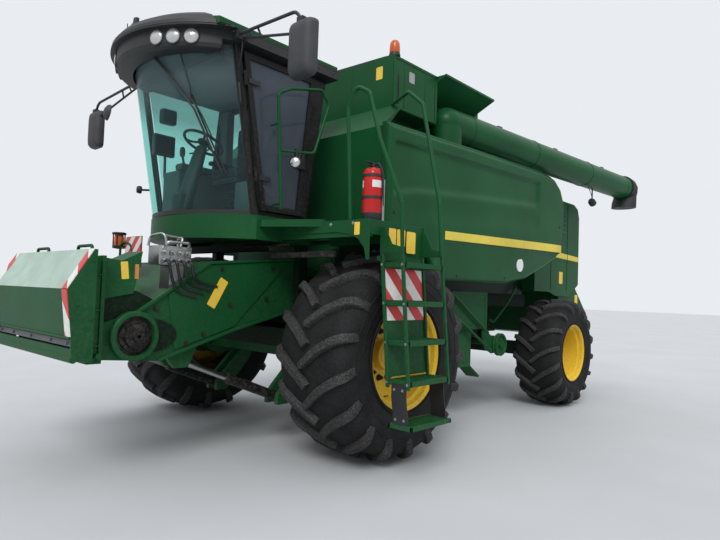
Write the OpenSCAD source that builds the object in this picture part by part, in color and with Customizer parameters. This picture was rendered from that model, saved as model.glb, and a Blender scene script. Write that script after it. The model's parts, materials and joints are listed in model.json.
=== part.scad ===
// Self-propelled combine harvester with straw walkers, standing as parked
// with its transport guard on the feeder house.
// +Z up, the machine faces -Y, its left side is +X. The origin lies on the
// ground under the middle of the front axle. Millimetres.

/* [Wheels and axles] */
// Distance between the front and the rear axle
wheelbase = 3860; // [3700:10:4000]
// Distance between the middles of the two front tyres
front_track = 2830; // [2800:10:2900]
// Outside diameter of a front tyre over its lugs
front_tyre_d = 1820; // [1760:10:1860]
// Width of a front tyre
front_tyre_w = 790; // [700:10:800]
// Diameter of a front rim at its flange
front_rim_d = 920; // [880:5:940]
// Distance between the middles of the two rear tyres
rear_track = 2770; // [2700:10:2900]
// Outside diameter of a rear tyre over its lugs
rear_tyre_d = 1450; // [1400:10:1480]
// Width of a rear tyre
rear_tyre_w = 590; // [500:10:600]
// Diameter of a rear rim at its flange
rear_rim_d = 765; // [720:5:790]
// Distance between the two kingpins of the rear axle
kingpin_track = 2000; // [1960:10:2020]

/* [Body] */
// Half width of the threshing body between the wheels
hull_half_w = 800; // [760:10:820]
// Height of the threshing body's underside
hull_floor_z = 1080; // [1040:10:1150]
// Half width of the rear hood
hood_half_w = 1000; // [950:10:1050]
// Distance from the front axle back to the hood's end
hood_end_y = 5620; // [5500:10:5700]
// Height of the hood's top
hood_top_z = 3020; // [2980:10:3050]
// Distance from the middle to the outside of a side shield
shield_out_x = 1450; // [1430:5:1470]
// Depth of a side shield's folded edge
shield_depth = 110; // [80:5:120]
// Thickness of a side shield's sheet
shield_sheet = 25; // [15:5:30]

/* [Grain tank and auger] */
// Half width of the grain tank
tank_half_w = 940; // [900:10:945]
// Distance from the front axle back to the tank's front wall
tank_front_y = 370; // [350:10:400]
// Length of the grain tank
tank_len = 2030; // [1950:10:2060]
// Height of the grain tank's rim
tank_rim_z = 3820; // [3780:10:3840]
// Width of the side boxes on the tank's upper walls
side_box_w = 260; // [220:10:280]
// Outside diameter of the unloading auger's tube
auger_d = 370; // [340:5:375]
// Height of the auger tube's axis when folded
auger_z = 3370; // [3365:5:3400]
// Sideways place of the auger's swing axis
auger_x = 1140; // [1135:1:1142]
// Fore and aft place of the auger's swing axis
auger_y = 1400; // [1380:10:1450]
// Length of the auger tube behind its swing axis
auger_len = 4800; // [4600:10:4950]
// Angle of the folded auger tube away from the machine's side
auger_angle = 4.5; // [3:0.5:5]

/* [Cab] */
// Half width of the cab
cab_half_w = 820; // [800:5:840]
// Height of the cab floor
cab_floor_z = 2080; // [2060:10:2100]
// Height of the cab's glass above its floor
cab_glass_h = 1400; // [1380:10:1410]
// Bulge of the windscreen at the machine's middle
screen_bulge = 400; // [350:10:420]
// Thickness of the cab's glass
glass_t = 8; // [6:1:12]
// Diameter of the cab's front pillars
pillar_d = 60; // [50:5:70]

/* [Feeder house and guard] */
// Half width of the feeder house
feeder_half_w = 640; // [600:10:660]
// Height of the feeder house's lift axis
feeder_pivot_z = 1500; // [1480:10:1520]
// Distance of the lift axis ahead of the front axle
feeder_pivot_y = -130; // [-150:5:-120]
// Half width of the transport guard
guard_half_w = 800; // [760:10:820]
// Thickness of the guard's sheet
guard_sheet = 20; // [12:2:24]

/* [Access] */
// Height of the platform's walking surface
platform_z = 2020; // [2000:10:2040]
// Distance from the middle to the ladder's inner posts
ladder_in_x = 1875; // [1865:5:1900]
// Depth of the ladder's steps
step_depth = 200; // [180:10:240]
// Width of the ladder's steps
step_w = 540; // [480:10:560]
// Distance by which the ladder's foot stands further out than its top
ladder_lean = 100; // [60:10:120]
// Diameter of the handrail tubes
rail_d = 32; // [28:2:38]

/* [Hidden] */
$fn = 48;
gap = 0.3;
front_r = front_tyre_d / 2;
rear_r = rear_tyre_d / 2;
front_x = front_track / 2;
rear_x = rear_track / 2;
king_x = kingpin_track / 2;
tank_end_y = tank_front_y + tank_len;
cab_roof_z = cab_floor_z + cab_glass_h;
cab_base_z = cab_floor_z - 210;
feeder_pivot = [0, feeder_pivot_y, feeder_pivot_z];
green = [0.10, 0.32, 0.15];
dark = [0.07, 0.07, 0.07];
grey = [0.45, 0.46, 0.46];
yellow = [0.95, 0.78, 0.08];

// Trunnions that carry the feeder house on the frame's posts
pivot_pin_d = 100;
pivot_eye_d = 340;
post_x = feeder_half_w + 10;

// Lift cylinders: [y, z] of the pins on the axle and on the feeder house
lift_x = 500;
barrel_pin = [-375, 430];
rod_pin = [-1450, 850];
pin_d = 50;
rod_pin_d = 40;
lock_pin_d = 40;
rod_d = 50;
eye_play = 18;
cyl_len = norm(rod_pin - barrel_pin);
cyl_angle = atan2(rod_pin[1] - barrel_pin[1], barrel_pin[0] - rod_pin[0]);

// A block between two corners
module block(a, b) {
    translate(a) cube(b - a);
}

// A side outline [y, z] carried from x0 to x1
module across(x0, x1, points) {
    translate([x0, 0, 0]) rotate([90, 0, 90]) linear_extrude(x1 - x0) polygon(points);
}

// A front outline [x, z] carried from y0 to y1
module along(y0, y1, points) {
    translate([0, y1, 0]) rotate([90, 0, 0]) linear_extrude(y1 - y0) polygon(points);
}

// A plan outline [x, y] carried from z0 to z1
module upward(z0, z1, points) {
    translate([0, 0, z0]) linear_extrude(z1 - z0) polygon(points);
}

// A round bar between two points
module bar(a, b, d) {
    v = b - a;
    translate(a)
        rotate([0, acos(v[2] / norm(v)), atan2(v[1], v[0])])
            cylinder(d = d, h = norm(v));
}

function unit(v) = v / norm(v);

// A bent tube through a list of points: straight lengths pushed into elbows of radius r
elbow_wall = 1;
elbow_grip = 3;
module bent_tube(p, d, r) {
    n = len(p);
    ang = [for (i = [1:n - 2]) acos(unit(p[i] - p[i - 1]) * unit(p[i + 1] - p[i]))];
    cut = concat([0], [for (a = ang) r * tan(a / 2)], [0]);
    for (i = [0:n - 2]) {
        u = unit(p[i + 1] - p[i]);
        in = i == 0 ? 0 : cut[i] - elbow_grip;
        out = i == n - 2 ? 0 : cut[i + 1] - elbow_grip;
        bar(p[i] + u * in, p[i + 1] - u * out, d);
    }
    for (i = [1:n - 2]) {
        u = unit(p[i] - p[i - 1]);
        v = unit(p[i + 1] - p[i]);
        w = unit(v - u * (u * v));
        z = cross(-w, u);
        c = p[i] - u * cut[i] + r * w;
        multmatrix([[-w[0], u[0], z[0], c[0]], [-w[1], u[1], z[1], c[1]], [-w[2], u[2], z[2], c[2]], [0, 0, 0, 1]])
            rotate_extrude(angle = ang[i - 1]) translate([r, 0]) circle(d = d + 2 * elbow_wall);
    }
}

module disc_x(x0, x1, d) {
    translate([x0, 0, 0]) rotate([0, 90, 0]) cylinder(d = d, h = x1 - x0);
}

// A turned piece about the X axis, outline [radius, x]
module turned_x(points) {
    rotate([0, 90, 0]) rotate_extrude($fn = 96) polygon(points);
}

module both_sides() {
    children();
    mirror([1, 0, 0]) children();
}

// Wheels: local frame with the axle along X and the outside at +X.
// The tyre is a coarse faceted shell; its lugs sweep back from the middle to the shoulder
tyre_sides = 24;
module tyre(d, w, rim_d, lugs, lug_h, lug_w) {
    c = d / 2 - lug_h;
    bead_r = (rim_d / 2 - 18 + gap) / cos(180 / tyre_sides);
    bulge_r = bead_r + (c - bead_r) * 0.5;
    color(dark) resize([w, 0, 0]) {
        rotate([0, 90, 0]) rotate_extrude($fn = tyre_sides) polygon([
            [bead_r, -w * 0.42], [bulge_r, -w * 0.5], [c - 60, -w * 0.465], [c, -w * 0.33],
            [c, w * 0.33], [c - 60, w * 0.465], [bulge_r, w * 0.5], [bead_r, w * 0.42]]);
        for (side = [0, 1]) mirror([side, 0, 0]) for (i = [0:lugs - 1])
            rotate([(i + side / 2) * 360 / lugs, 0, 0]) lug(d / 2, w, lug_h, lug_w);
    }
}
module lug(r, w, h, t) {
    in = 12;
    half = w * 0.155;
    top = sqrt(pow(r, 2) - pow(half + 0.66 * in + t / 2, 2)) - 2;
    multmatrix([[1, 0, 0, 0], [0.66, 1, 0, -half], [-0.12, 0, 1, 0]])
        translate([-in, -t / 2, top - h]) cube([w * 0.47 + in, t, h]);
}

module rim(d, w, disc_x, hub_r, bolts, pcd) {
    r = d / 2;
    color(yellow) difference() {
        turned_x([
            [r, -w / 2], [r, -w / 2 + 14], [r - 18, -w / 2 + 20], [r - 18, w / 2 - 20],
            [r, w / 2 - 14], [r, w / 2], [r - 22, w / 2], [r - 40, w / 2 - 30],
            [r - 55, disc_x + 60], [r - 120, disc_x + 22], [hub_r, disc_x + 22], [hub_r - 8, disc_x + 80],
            [hub_r * 0.75, disc_x + 86], [hub_r * 0.72, disc_x + 74], [0, disc_x + 74], [0, disc_x],
            [r - 130, disc_x], [r - 70, disc_x - 30], [r - 40, -w / 2 + 30], [r - 22, -w / 2]]);
        for (i = [0:bolts - 1]) rotate([i * 360 / bolts, 0, 0])
            translate([0, pcd / 2, 0]) disc_x(disc_x - 20, disc_x + 60, 24);
    }
}

front_disc_x = 60;
rear_disc_x = -20;

module front_tyre() { tyre(front_tyre_d, front_tyre_w, front_rim_d, 17, 50, 66); }
module rear_tyre() { tyre(rear_tyre_d, rear_tyre_w, rear_rim_d, 16, 42, 54); }
module front_tyre_left() { translate([front_x, 0, front_r]) front_tyre(); }
module front_tyre_right() { translate([-front_x, 0, front_r]) mirror([1, 0, 0]) front_tyre(); }
module rear_tyre_left() { translate([rear_x, wheelbase, rear_r]) rear_tyre(); }
module rear_tyre_right() { translate([-rear_x, wheelbase, rear_r]) mirror([1, 0, 0]) rear_tyre(); }

module front_rim() { rim(front_rim_d, front_tyre_w * 0.86 + 28, front_disc_x, 140, 12, 420); }
module rear_rim() { rim(rear_rim_d, rear_tyre_w * 0.86 + 28, rear_disc_x, 100, 10, 335); }
module front_rim_left() { translate([front_x, 0, front_r]) front_rim(); }
module front_rim_right() { translate([-front_x, 0, front_r]) mirror([1, 0, 0]) front_rim(); }
module rear_rim_left() { translate([rear_x, wheelbase, rear_r]) rear_rim(); }
module rear_rim_right() { translate([-rear_x, wheelbase, rear_r]) mirror([1, 0, 0]) rear_rim(); }

// Chassis
frame_h = 180;
frame_z = hull_floor_z - frame_h;
frame_end_y = wheelbase + 440;
module main_frame() {
    color(green) {
        both_sides() {
            block([620, -350, frame_z], [700, 2600, frame_z + frame_h - gap]);
            across(620, 700, [[2500, frame_z], [2860, frame_z], [3150, frame_z + 420], [frame_end_y, frame_z + 420],
                [frame_end_y, hull_step_z - gap], [3005, hull_step_z - gap], [2655, frame_z + frame_h - gap],
                [2500, frame_z + frame_h - gap]]);
            block([post_x, -350, frame_z + frame_h - 1], [post_x + 80, -250, cab_base_z - gap]);
            block([post_x, -251, feeder_pivot_z - 80], [post_x + 80, feeder_pivot_y + 70, feeder_pivot_z + 80]);
            translate(feeder_pivot) disc_x(feeder_half_w - 30, post_x + 1, pivot_pin_d);
        }
        block([-621, -350, frame_z], [621, -250, frame_z + frame_h - 2]);
        block([-621, wheelbase - 110, frame_z + 430], [621, wheelbase + 110, frame_z + 550]);
        for (y = [wheelbase - 100, wheelbase + 60])
            block([-90, y, rear_r + 130], [90, y + 40, frame_z + 431]);
        hitch();
    }
}

// Towing clevis behind the rear axle, with an upright pin hole
hitch_y = frame_end_y + 120;
hitch_z = 860;
hitch_hole_d = 32;
module hitch() {
    block([-90, wheelbase + 99, 1180], [90, frame_end_y, 1300]);
    block([-90, frame_end_y - 100, hitch_z - 80], [90, frame_end_y, 1181]);
    for (z = [hitch_z - 80, hitch_z + 40]) difference() {
        block([-90, frame_end_y - 1, z], [90, hitch_y + 80, z + 40]);
        translate([0, hitch_y, z - 1]) cylinder(d = hitch_hole_d, h = 42);
    }
}

// Front axle beam with a final drive at each end
hub_x = front_x + front_disc_x;
module front_axle() {
    color(green) {
        block([-1000, -130, front_r - 130], [1000, 130, frame_z]);
        block([-1000, -130, frame_z - 1], [-701, 130, frame_z + 120]);
        block([701, -130, frame_z - 1], [1000, 130, frame_z + 120]);
        block([-619, -130, frame_z - 1], [619, 130, frame_z + 120]);
        both_sides() translate([0, 0, front_r]) {
            disc_x(1000, 1180, 460);
            disc_x(1180, hub_x - 90, 330);
            disc_x(hub_x - 90, hub_x - gap, 500);
        }
        both_sides() for (x = [lift_x - 100, lift_x + 50])
            across(x, x + 50, [[-129, 1000], [-129, 780], barrel_pin + [-60, 30], barrel_pin + [-60, -60],
                barrel_pin + [60, -60], [-20, 700], [0, 781], [0, 1000]]);
        both_sides() translate([0, barrel_pin[0], barrel_pin[1]]) disc_x(lift_x - 90, lift_x + 90, pin_d);
    }
}

// Rear axle beam with a centre pivot
module rear_axle() {
    color(green) {
        across(-king_x + 130, king_x - 130, [[wheelbase - 90, rear_r - 90], [wheelbase + 90, rear_r - 90],
            [wheelbase + 90, rear_r + 90], [wheelbase - 90, rear_r + 90]]);
        both_sides() {
            block([king_x - 131, wheelbase - 70, rear_r + 91], [king_x + 70, wheelbase + 70, rear_r + 140]);
            block([king_x - 131, wheelbase - 70, rear_r - 140], [king_x + 70, wheelbase + 70, rear_r - 91]);
            block([king_x - 170, wheelbase - 70, rear_r - 140], [king_x - 130, wheelbase + 70, rear_r + 140]);
        }
        translate([0, wheelbase + 59.7, rear_r + 200]) rotate([90, 0, 0]) cylinder(d = 110, h = 119.4);
        block([-60, wheelbase - 59.7, rear_r + 89], [60, wheelbase + 59.7, rear_r + 200]);
    }
}

// Steering knuckle, with its kingpin and its wheel hub
module knuckle() {
    h = rear_r;
    hub = rear_x - king_x + rear_disc_x;
    color(dark) {
        translate([0, 0, -90.5]) cylinder(d = 90, h = 181);
        disc_x(30, hub - 80, 120);
        disc_x(hub - 80, hub - gap, 400);
        block([-60, 40, -80], [0, 260, -40]);
    }
}
module knuckle_left() { translate([king_x, wheelbase, rear_r]) knuckle(); }
module knuckle_right() { translate([-king_x, wheelbase, rear_r]) mirror([1, 0, 0]) knuckle(); }

// Threshing body with the cleaning shoe below it
side_w = shield_out_x - shield_depth - 10;
hull_end_y = hood_end_y - 1620;
deck_z = cab_floor_z + 340;
hull_step_z = hull_floor_z + 420;
module threshing_body() {
    color(green) {
        across(-hull_half_w, hull_half_w, [[50, hull_floor_z + 130], [50, cab_base_z - gap], [131, cab_base_z - gap], [131, deck_z], [hull_end_y, deck_z],
            [hull_end_y, hull_step_z], [3000, hull_step_z], [2650, hull_floor_z], [200, hull_floor_z]]);
        across(-side_w, side_w, [[100, 1960], [132, 1960], [132, 2990], [tank_front_y - gap, 3270],
            [tank_front_y - gap, 3300], [100, 3020]]);
        both_sides() for (z = [2100, 2900])
            block([side_w - 30, 75, z], [shield_out_x - shield_depth - gap, 101, z + 60]);
        across(-600, 600, [[500, hull_floor_z + 1], [500, hull_floor_z - 380], [1100, hull_floor_z - 520],
            [1750, hull_floor_z - 520], [2500, hull_floor_z - 220], [2900, hull_floor_z + 1]]);
    }
}

module rear_hood() {
    color(green) difference() {
        across(-hood_half_w, hood_half_w, [[hull_end_y + gap, 1560], [hull_end_y + gap, hood_top_z],
            [hood_end_y - 220, hood_top_z], [hood_end_y - 60, hood_top_z - 60], [hood_end_y, hood_top_z - 200],
            [hood_end_y, 1700], [hood_end_y - 370, 1500], [hood_end_y - 870, 1500], [hood_end_y - 1120, 1560]]);
        across(-hood_half_w + 30, hood_half_w - 30, [[hull_end_y + 40, 1400], [hull_end_y + 40, hood_top_z - 40],
            [hood_end_y - 240, hood_top_z - 40], [hood_end_y - 60, hood_top_z - 220],
            [hood_end_y - 60, 1400]]);
    }
}

module straw_chopper() {
    w = hood_half_w - 30 - gap;
    y = hood_end_y;
    color(green) difference() {
        across(-w, w, [[y - 720, 1580], [y - 120, 1700], [y + 530, 1150], [y + 510, 1060], [y - 20, 1100],
            [y - 320, 860], [y - 620, 900]]);
        across(-w + 30, w - 30, [[y - 120, 1650], [y + 560, 1110], [y + 580, 1000], [y - 40, 1080]]);
    }
}

module side_box() {
    color(green) {
        block([hull_half_w + gap, 1550, hull_floor_z - 30], [hull_half_w + 320, 2450, hull_floor_z + 420]);
        block([hull_half_w + gap, 1700, hull_floor_z - 480], [hull_half_w + 280, 2150, hull_floor_z - 29]);
    }
}

module engine() { color(grey) block([-450, tank_end_y + 300, deck_z + gap], [450, hull_end_y - 300, 3050]); }

module engine_deck() {
    deck_y = tank_end_y + 40;
    pitch = (hull_end_y - 400 - deck_y) / 9;
    color(green) difference() {
        block([-1150, deck_y, deck_z + gap], [1000, hull_end_y - 10, 3120]);
        block([-1110, deck_y + 40, deck_z - 20], [960, hull_end_y - 50, 3080]);
        for (i = [0:8]) translate([-1160, deck_y + 200 + i * pitch, 2560]) cube([60, pitch * 0.55, 400]);
    }
}

module grain_tank() {
    w = tank_half_w;
    color(green) {
        difference() {
            union() {
                block([-w, tank_front_y, deck_z + gap], [w, tank_end_y, tank_rim_z]);
                block([w - 1, tank_front_y, 3290], [w + side_box_w, tank_front_y + 750, tank_rim_z]);
                block([-w - side_box_w, tank_front_y, 3290], [1 - w, tank_end_y, tank_rim_z]);
                along(tank_front_y + 749, tank_front_y + 1780, [[w - 1, 3620], [w + 370, tank_rim_z - 15],
                    [w + 370, tank_rim_z], [w - 1, tank_rim_z]]);
            }
            block([-w + 30, tank_front_y + 30, 2500], [w - 30, tank_end_y - 30, tank_rim_z + 10]);
        }
    }
}

// Tank covers, hinged along the tank's sides
lid_hinge_x = tank_half_w + 40;
module tank_lid_left() {
    color(green) {
        along(tank_front_y + 140, tank_end_y - 60, [[3, tank_rim_z + 110], [3, tank_rim_z + 80],
            [tank_half_w - 60, tank_rim_z + 50], [tank_half_w - 60, tank_rim_z + gap], [lid_hinge_x, tank_rim_z + gap],
            [lid_hinge_x, tank_rim_z + 80]]);
    }
}
module tank_lid_right() { mirror([1, 0, 0]) tank_lid_left(); }

// Unloading auger: fixed turret, swinging tube, rubber spout
module auger_base() {
    color(green) translate([auger_x, auger_y, 0]) {
        translate([0, 0, 2600]) cylinder(d = auger_d, h = 370);
        translate([0, 0, 2940]) cylinder(d = auger_d + 20, h = 30);
        block([tank_half_w - auger_x + gap, -150, 2600], [0, 150, 2900]);
    }
}
module auger_place() {
    translate([auger_x, auger_y, 0]) rotate([0, 0, -auger_angle]) children();
}
module auger_tube() {
    color(green) auger_place() {
        translate([0, 0, 2970 + gap]) cylinder(d = auger_d + 20, h = 30);
        translate([0, 0, 2970 + gap]) cylinder(d = auger_d - 10, h = auger_z - 2970);
        translate([0, 0, auger_z]) sphere(d = auger_d);
        translate([0, 0, auger_z]) rotate([-90, 0, 0]) cylinder(d = auger_d, h = auger_len);
    }
}
module auger_spout() {
    color(dark) auger_place() translate([0, 0, auger_z]) difference() {
        union() {
            translate([0, auger_len + gap - 60, 0]) rotate([-90, 0, 0]) cylinder(d = auger_d + 30, h = 200);
            across(-auger_d / 2, auger_d / 2, [[auger_len - 60, 0], [auger_len + 140, 0],
                [auger_len + 120, -380], [auger_len - 120, -360]]);
            translate([0, auger_len - 1150, -auger_d / 2 - 230]) cylinder(d = 20, h = 240);
            translate([0, auger_len - 1150, -auger_d / 2 - 280]) cylinder(d = 110, h = 90);
        }
        translate([0, auger_len - 1350, 0]) rotate([-90, 0, 0]) cylinder(d = auger_d + 2 * gap, h = 400);
        translate([0, auger_len - 200, 0]) rotate([-90, 0, 0]) cylinder(d = auger_d, h = 200 + gap);
    }
}

// Cab
a_foot = [cab_half_w - pillar_d / 2, -930, cab_floor_z];
a_head = [cab_half_w - pillar_d / 2, -1190, cab_roof_z];
rear_foot_y = -330;
rear_head_y = -140;
// Windscreen arc through both front pillars: [x, y] ahead of the pillars' line
function screen_r(w, b) = (w * w + b * b) / (2 * b);

module cab_floor() {
    r = screen_r(cab_half_w, screen_bulge);
    color(green) difference() {
        union() {
            upward(cab_base_z, cab_floor_z, [[-cab_half_w, -930], [-cab_half_w, -300], [cab_half_w, -300], [cab_half_w, -930]]);
            intersection() {
                translate([0, -930 - screen_bulge + r, cab_base_z]) cylinder(r = r, h = cab_floor_z - cab_base_z, $fn = 96);
                block([-cab_half_w, -1500, cab_base_z], [cab_half_w, -929, cab_floor_z]);
            }
        }
        block([-cab_half_w + 60, -900, cab_base_z - 10], [cab_half_w - 60, -360, 2040]);
    }
}

module cab_frame() {
    w = cab_half_w - 44;
    color(dark) {
        both_sides() {
            intersection() {
                bar(a_foot - (a_head - a_foot) * 0.05, a_head + (a_head - a_foot) * 0.05, pillar_d);
                block([w - 60, -1400, cab_floor_z + gap], [cab_half_w + 10, -700, cab_roof_z - gap]);
            }
            hinge_place() for (z = [-30 - gap, 60 + gap]) {
                translate([0, 0, z]) cylinder(d = hinge_d, h = 30);
                block([-40, -24, z], [0, -1, z + 30]);
            }
            across(w - 60, w, [[rear_foot_y - 110, cab_floor_z + gap], [rear_foot_y, cab_floor_z + gap],
                [rear_head_y, cab_roof_z - gap], [rear_head_y - 170, cab_roof_z - gap]]);
            for (q = [[w - 14, -935], [w - 50, -900]])
                across(q[0], w - 2, [[q[1], cab_floor_z + gap], [rear_foot_y - 9, cab_floor_z + gap],
                    [rear_foot_y - 9, cab_floor_z + 40], [q[1], cab_floor_z + 40]]);
            for (q = [[w - 14, -1180], [w - 50, -1150]])
                across(q[0], w - 2, [[q[1], cab_roof_z - 40], [rear_head_y - 9, cab_roof_z - 40],
                    [rear_head_y - 9, cab_roof_z - gap], [q[1], cab_roof_z - gap]]);
        }
        across(-w + 49, w - 49, [[rear_foot_y - 50, cab_floor_z + gap], [rear_foot_y - 10, cab_floor_z + gap],
            [rear_foot_y + 60, cab_floor_z + 500], [rear_foot_y + 20, cab_floor_z + 500]]);
        across(-w + 49, w - 49, [[rear_head_y - 58, cab_roof_z - 60], [rear_head_y - 18, cab_roof_z - 60],
            [rear_head_y - 10, cab_roof_z - gap], [rear_head_y - 50, cab_roof_z - gap]]);
    }
}

// Windscreen sheared forward with the pillars
module windscreen() {
    w = cab_half_w - pillar_d - gap;
    r = screen_r(w, screen_bulge);
    lean = (a_head[1] - a_foot[1]) / cab_glass_h;
    color([0.6, 0.75, 0.75, 0.4])
        multmatrix([[1, 0, 0, 0], [0, 1, lean, a_foot[1] - lean * cab_floor_z], [0, 0, 1, 0]])
            translate([0, 0, cab_floor_z + gap]) linear_extrude(cab_glass_h - 2 * gap) intersection() {
                translate([0, r - screen_bulge]) difference() {
                    circle(r = r, $fn = 96);
                    circle(r = r - glass_t, $fn = 96);
                }
                translate([-w, -screen_bulge - 10]) square([2 * w, screen_bulge + 10]);
            }
}

module cab_glass() {
    windscreen();
    color([0.6, 0.75, 0.75, 0.4]) {
        across(-cab_half_w + 44 - gap - glass_t, -cab_half_w + 44 - gap, [[-880, cab_floor_z + 20],
            [rear_foot_y - 30, cab_floor_z + 20], [rear_head_y - 30, cab_roof_z - 20],
            [-1150, cab_roof_z - 20]]);
        across(-cab_half_w + 104 + gap, cab_half_w - 104 - gap, [[rear_foot_y + 30, cab_floor_z + 500 + gap],
            [rear_foot_y + 38, cab_floor_z + 500 + gap], [rear_head_y - 30, cab_roof_z - 60 - gap],
            [rear_head_y - 38, cab_roof_z - 60 - gap]]);
    }
}

// Door, hinged on the front pillar. Each hinge: [distance up the leaning axis]
hinge_lean = atan2(a_foot[1] - a_head[1], cab_glass_h);
hinge_at = [320, 1120];
hinge_d = 30;
module hinge_place() {
    for (t = hinge_at) translate([cab_half_w + 12, -905, cab_floor_z]) rotate([hinge_lean, 0, 0]) translate([0, 0, t]) children();
}
door_out = [[-885, cab_floor_z + 45], [rear_foot_y - 58, cab_floor_z + 45],
    [rear_head_y - 58, cab_roof_z - 45], [-1138, cab_roof_z - 45]];
door_in = [[-850, cab_floor_z + 95], [rear_foot_y - 165, cab_floor_z + 95],
    [rear_head_y - 235, cab_roof_z - 95], [-1075, cab_roof_z - 95]];
module door_frame() {
    color(dark) {
        difference() {
            across(cab_half_w - 35, cab_half_w + 5, door_out);
            across(cab_half_w - 40, cab_half_w + 10, door_in);
        }
        hinge_place() {
            cylinder(d = hinge_d, h = 60);
            block([-21, 0, 5], [-9, 44, 55]);
        }
    }
}
module door_glass() {
    color([0.6, 0.75, 0.75, 0.4]) across(cab_half_w - 20, cab_half_w - 20 + glass_t, door_in);
}

// Grab rail around the door's handle
module door_rail() {
    x = cab_half_w + 110;
    z = cab_floor_z;
    color(green) {
        bent_tube([[x, -760, z + 60], [x, -840, z + 1060], [x, -690, z + 1140], [x, -330, z + 1230], [x, -230, z + 1120],
            [x, -400, z + 620], [x, -540, z + 600]], 28, 60);
        bar([x, -541, z + 600], [x, -788, z + 570], 24);
        for (q = [[-765, 110], [-818, 800], [-400, 625]])
            bar([cab_half_w + 5 + gap, q[0], z + q[1]], [x, q[0], z + q[1]], 22);
    }
}

// Roof: black rim around the sides and bowed front, green crown above
rim_half_w = cab_half_w + 80;
rim_top = cab_roof_z + 80;
crown_z = cab_roof_z + 230;
module cab_roof() {
    color(green) intersection() {
        across(-rim_half_w + 20, rim_half_w - 20, [[-1420, rim_top + gap], [-1420, crown_z + 20], [-1250, crown_z],
            [-500, crown_z - 10], [-140, crown_z - 50], [-90, rim_top + 60], [-90, rim_top + gap]]);
        along(-1430, -80, [[-rim_half_w + 20, rim_top + gap], [-rim_half_w + 20, rim_top + 50],
            [-rim_half_w + 120, crown_z - 70], [-rim_half_w + 320, crown_z + 20],
            [rim_half_w - 320, crown_z + 20],
            [rim_half_w - 120, crown_z - 70], [rim_half_w - 20, rim_top + 50], [rim_half_w - 20, rim_top + gap]]);
    }
}

// Brim bowed round the roof's front, over a face with pockets for its lamps
brim_r = screen_r(rim_half_w + 20, 500);
brim_y = brim_r - 1800;
face_r = screen_r(cab_half_w + 40, 560);
face_y = face_r - 1760;
screen_head_r = screen_r(cab_half_w - pillar_d - gap, screen_bulge);
lamp_angles = [-42, -32.5, -23, 23, 32.5, 42];
lamp_d = 132;
face_low = 88;
module lamp_row() {
    for (a = lamp_angles) translate([0, face_y, cab_roof_z + 2]) rotate([0, 0, a])
        translate([0, 100 - face_r, 0]) rotate([90, 0, 0]) children();
}
module roof_visor() {
    z = cab_roof_z;
    color(dark) {
        difference() {
            union() {
                upward(z, rim_top, [[-rim_half_w, -1260], [-rim_half_w, -90], [rim_half_w, -90], [rim_half_w, -1260]]);
                intersection() {
                    translate([0, brim_y, z]) rotate_extrude($fn = 96) polygon([[0, 72], [brim_r - 14, 72],
                        [brim_r, 86], [brim_r - 6, 118], [brim_r - 50, 176], [brim_r - 130, 228], [brim_r - 230, 260], [0, 260]]);
                    block([-rim_half_w - 20, -1900, z + 60], [rim_half_w + 20, -1420 - gap, z + 280]);
                }
                intersection() {
                    translate([0, brim_y, z + 70]) cylinder(r = brim_r, h = 10, $fn = 96);
                    block([-rim_half_w - 20, -1900, z + 60], [rim_half_w + 20, -1260, z + 90]);
                }
                intersection() {
                    translate([0, face_y, z]) rotate_extrude($fn = 96) polygon([[0, -face_low], [face_r - 48, -face_low],
                        [face_r - 16, 14 - face_low], [face_r, 44 - face_low], [face_r, 73], [0, 73]]);
                    block([-cab_half_w - 40, -1900, z - face_low - 1], [cab_half_w + 40, -1200, z + 80]);
                }
            }
            block([-1000, -1330, z - face_low - 1], [1000, -1150, z - gap]);
            intersection() {
                translate([0, a_head[1] - screen_bulge + screen_head_r, z - face_low - 1]) cylinder(r = screen_head_r + 6, h = face_low + 1 - gap, $fn = 96);
                block([-772, -1700, z - face_low - 2], [772, -1150, z]);
            }
            lamp_row() cylinder(d = lamp_d + 1, h = 200);
        }
        bent_tube([[109, -1630, z - 10], [300, -1530, z - 240], [500, -1385, z - 540], [642, -1180, z - 1060]], 18, 100);
        bent_tube([[420, -1535, z + 20], [490, -1425, z - 366], [472, -1405, z - 497]], 14, 100);
    }
}
module roof_lamps() {
    color([0.85, 0.85, 0.85]) lamp_row() rotate_extrude()
        polygon([[0, 0], [lamp_d / 2, 0], [lamp_d / 2, 84], [lamp_d * 0.42, 96], [lamp_d * 0.25, 104], [0, 108]]);
}

module driver_seat() {
    color(dark) {
        block([-250, -700, cab_floor_z + 420], [250, -400, cab_floor_z + 530]);
        block([-230, -460, cab_floor_z + 529], [230, -380, cab_floor_z + 1050]);
        block([-160, -640, cab_floor_z + gap], [160, -440, cab_floor_z + 421]);
    }
}
module steering_wheel() {
    color(dark) {
        block([-90, -1260, cab_floor_z + gap], [90, -1080, cab_floor_z + 60]);
        bar([0, -1170, cab_floor_z + 40], [0, -980, cab_floor_z + 735], 110);
        translate([0, -975, cab_floor_z + 735]) rotate([-25, 0, 0]) rotate_extrude() translate([190, 0]) circle(d = 28, $fn = 24);
        translate([0, -975, cab_floor_z + 735]) rotate([-25, 0, 0]) block([-185, -15, -10], [185, 15, 10]);
    }
}

module mirrors() {
    color(dark) both_sides() {
        z = cab_roof_z;
        bent_tube([[rim_half_w + 2, -1240, z + 40], [1660, -1290, z - 30], [1725, -1290, z - 110]], 28, 60);
        bar([rim_half_w + 4.1, -1200, z + 20], [1690, -1290, z - 200], 26);
        along(-1340, -1235, [[1600, z - 500], [1620, z - 525], [1830, z - 525], [1850, z - 500], [1850, z - 140],
            [1825, z - 108], [1630, z - 108], [1600, z - 140]]);
    }
}

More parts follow.
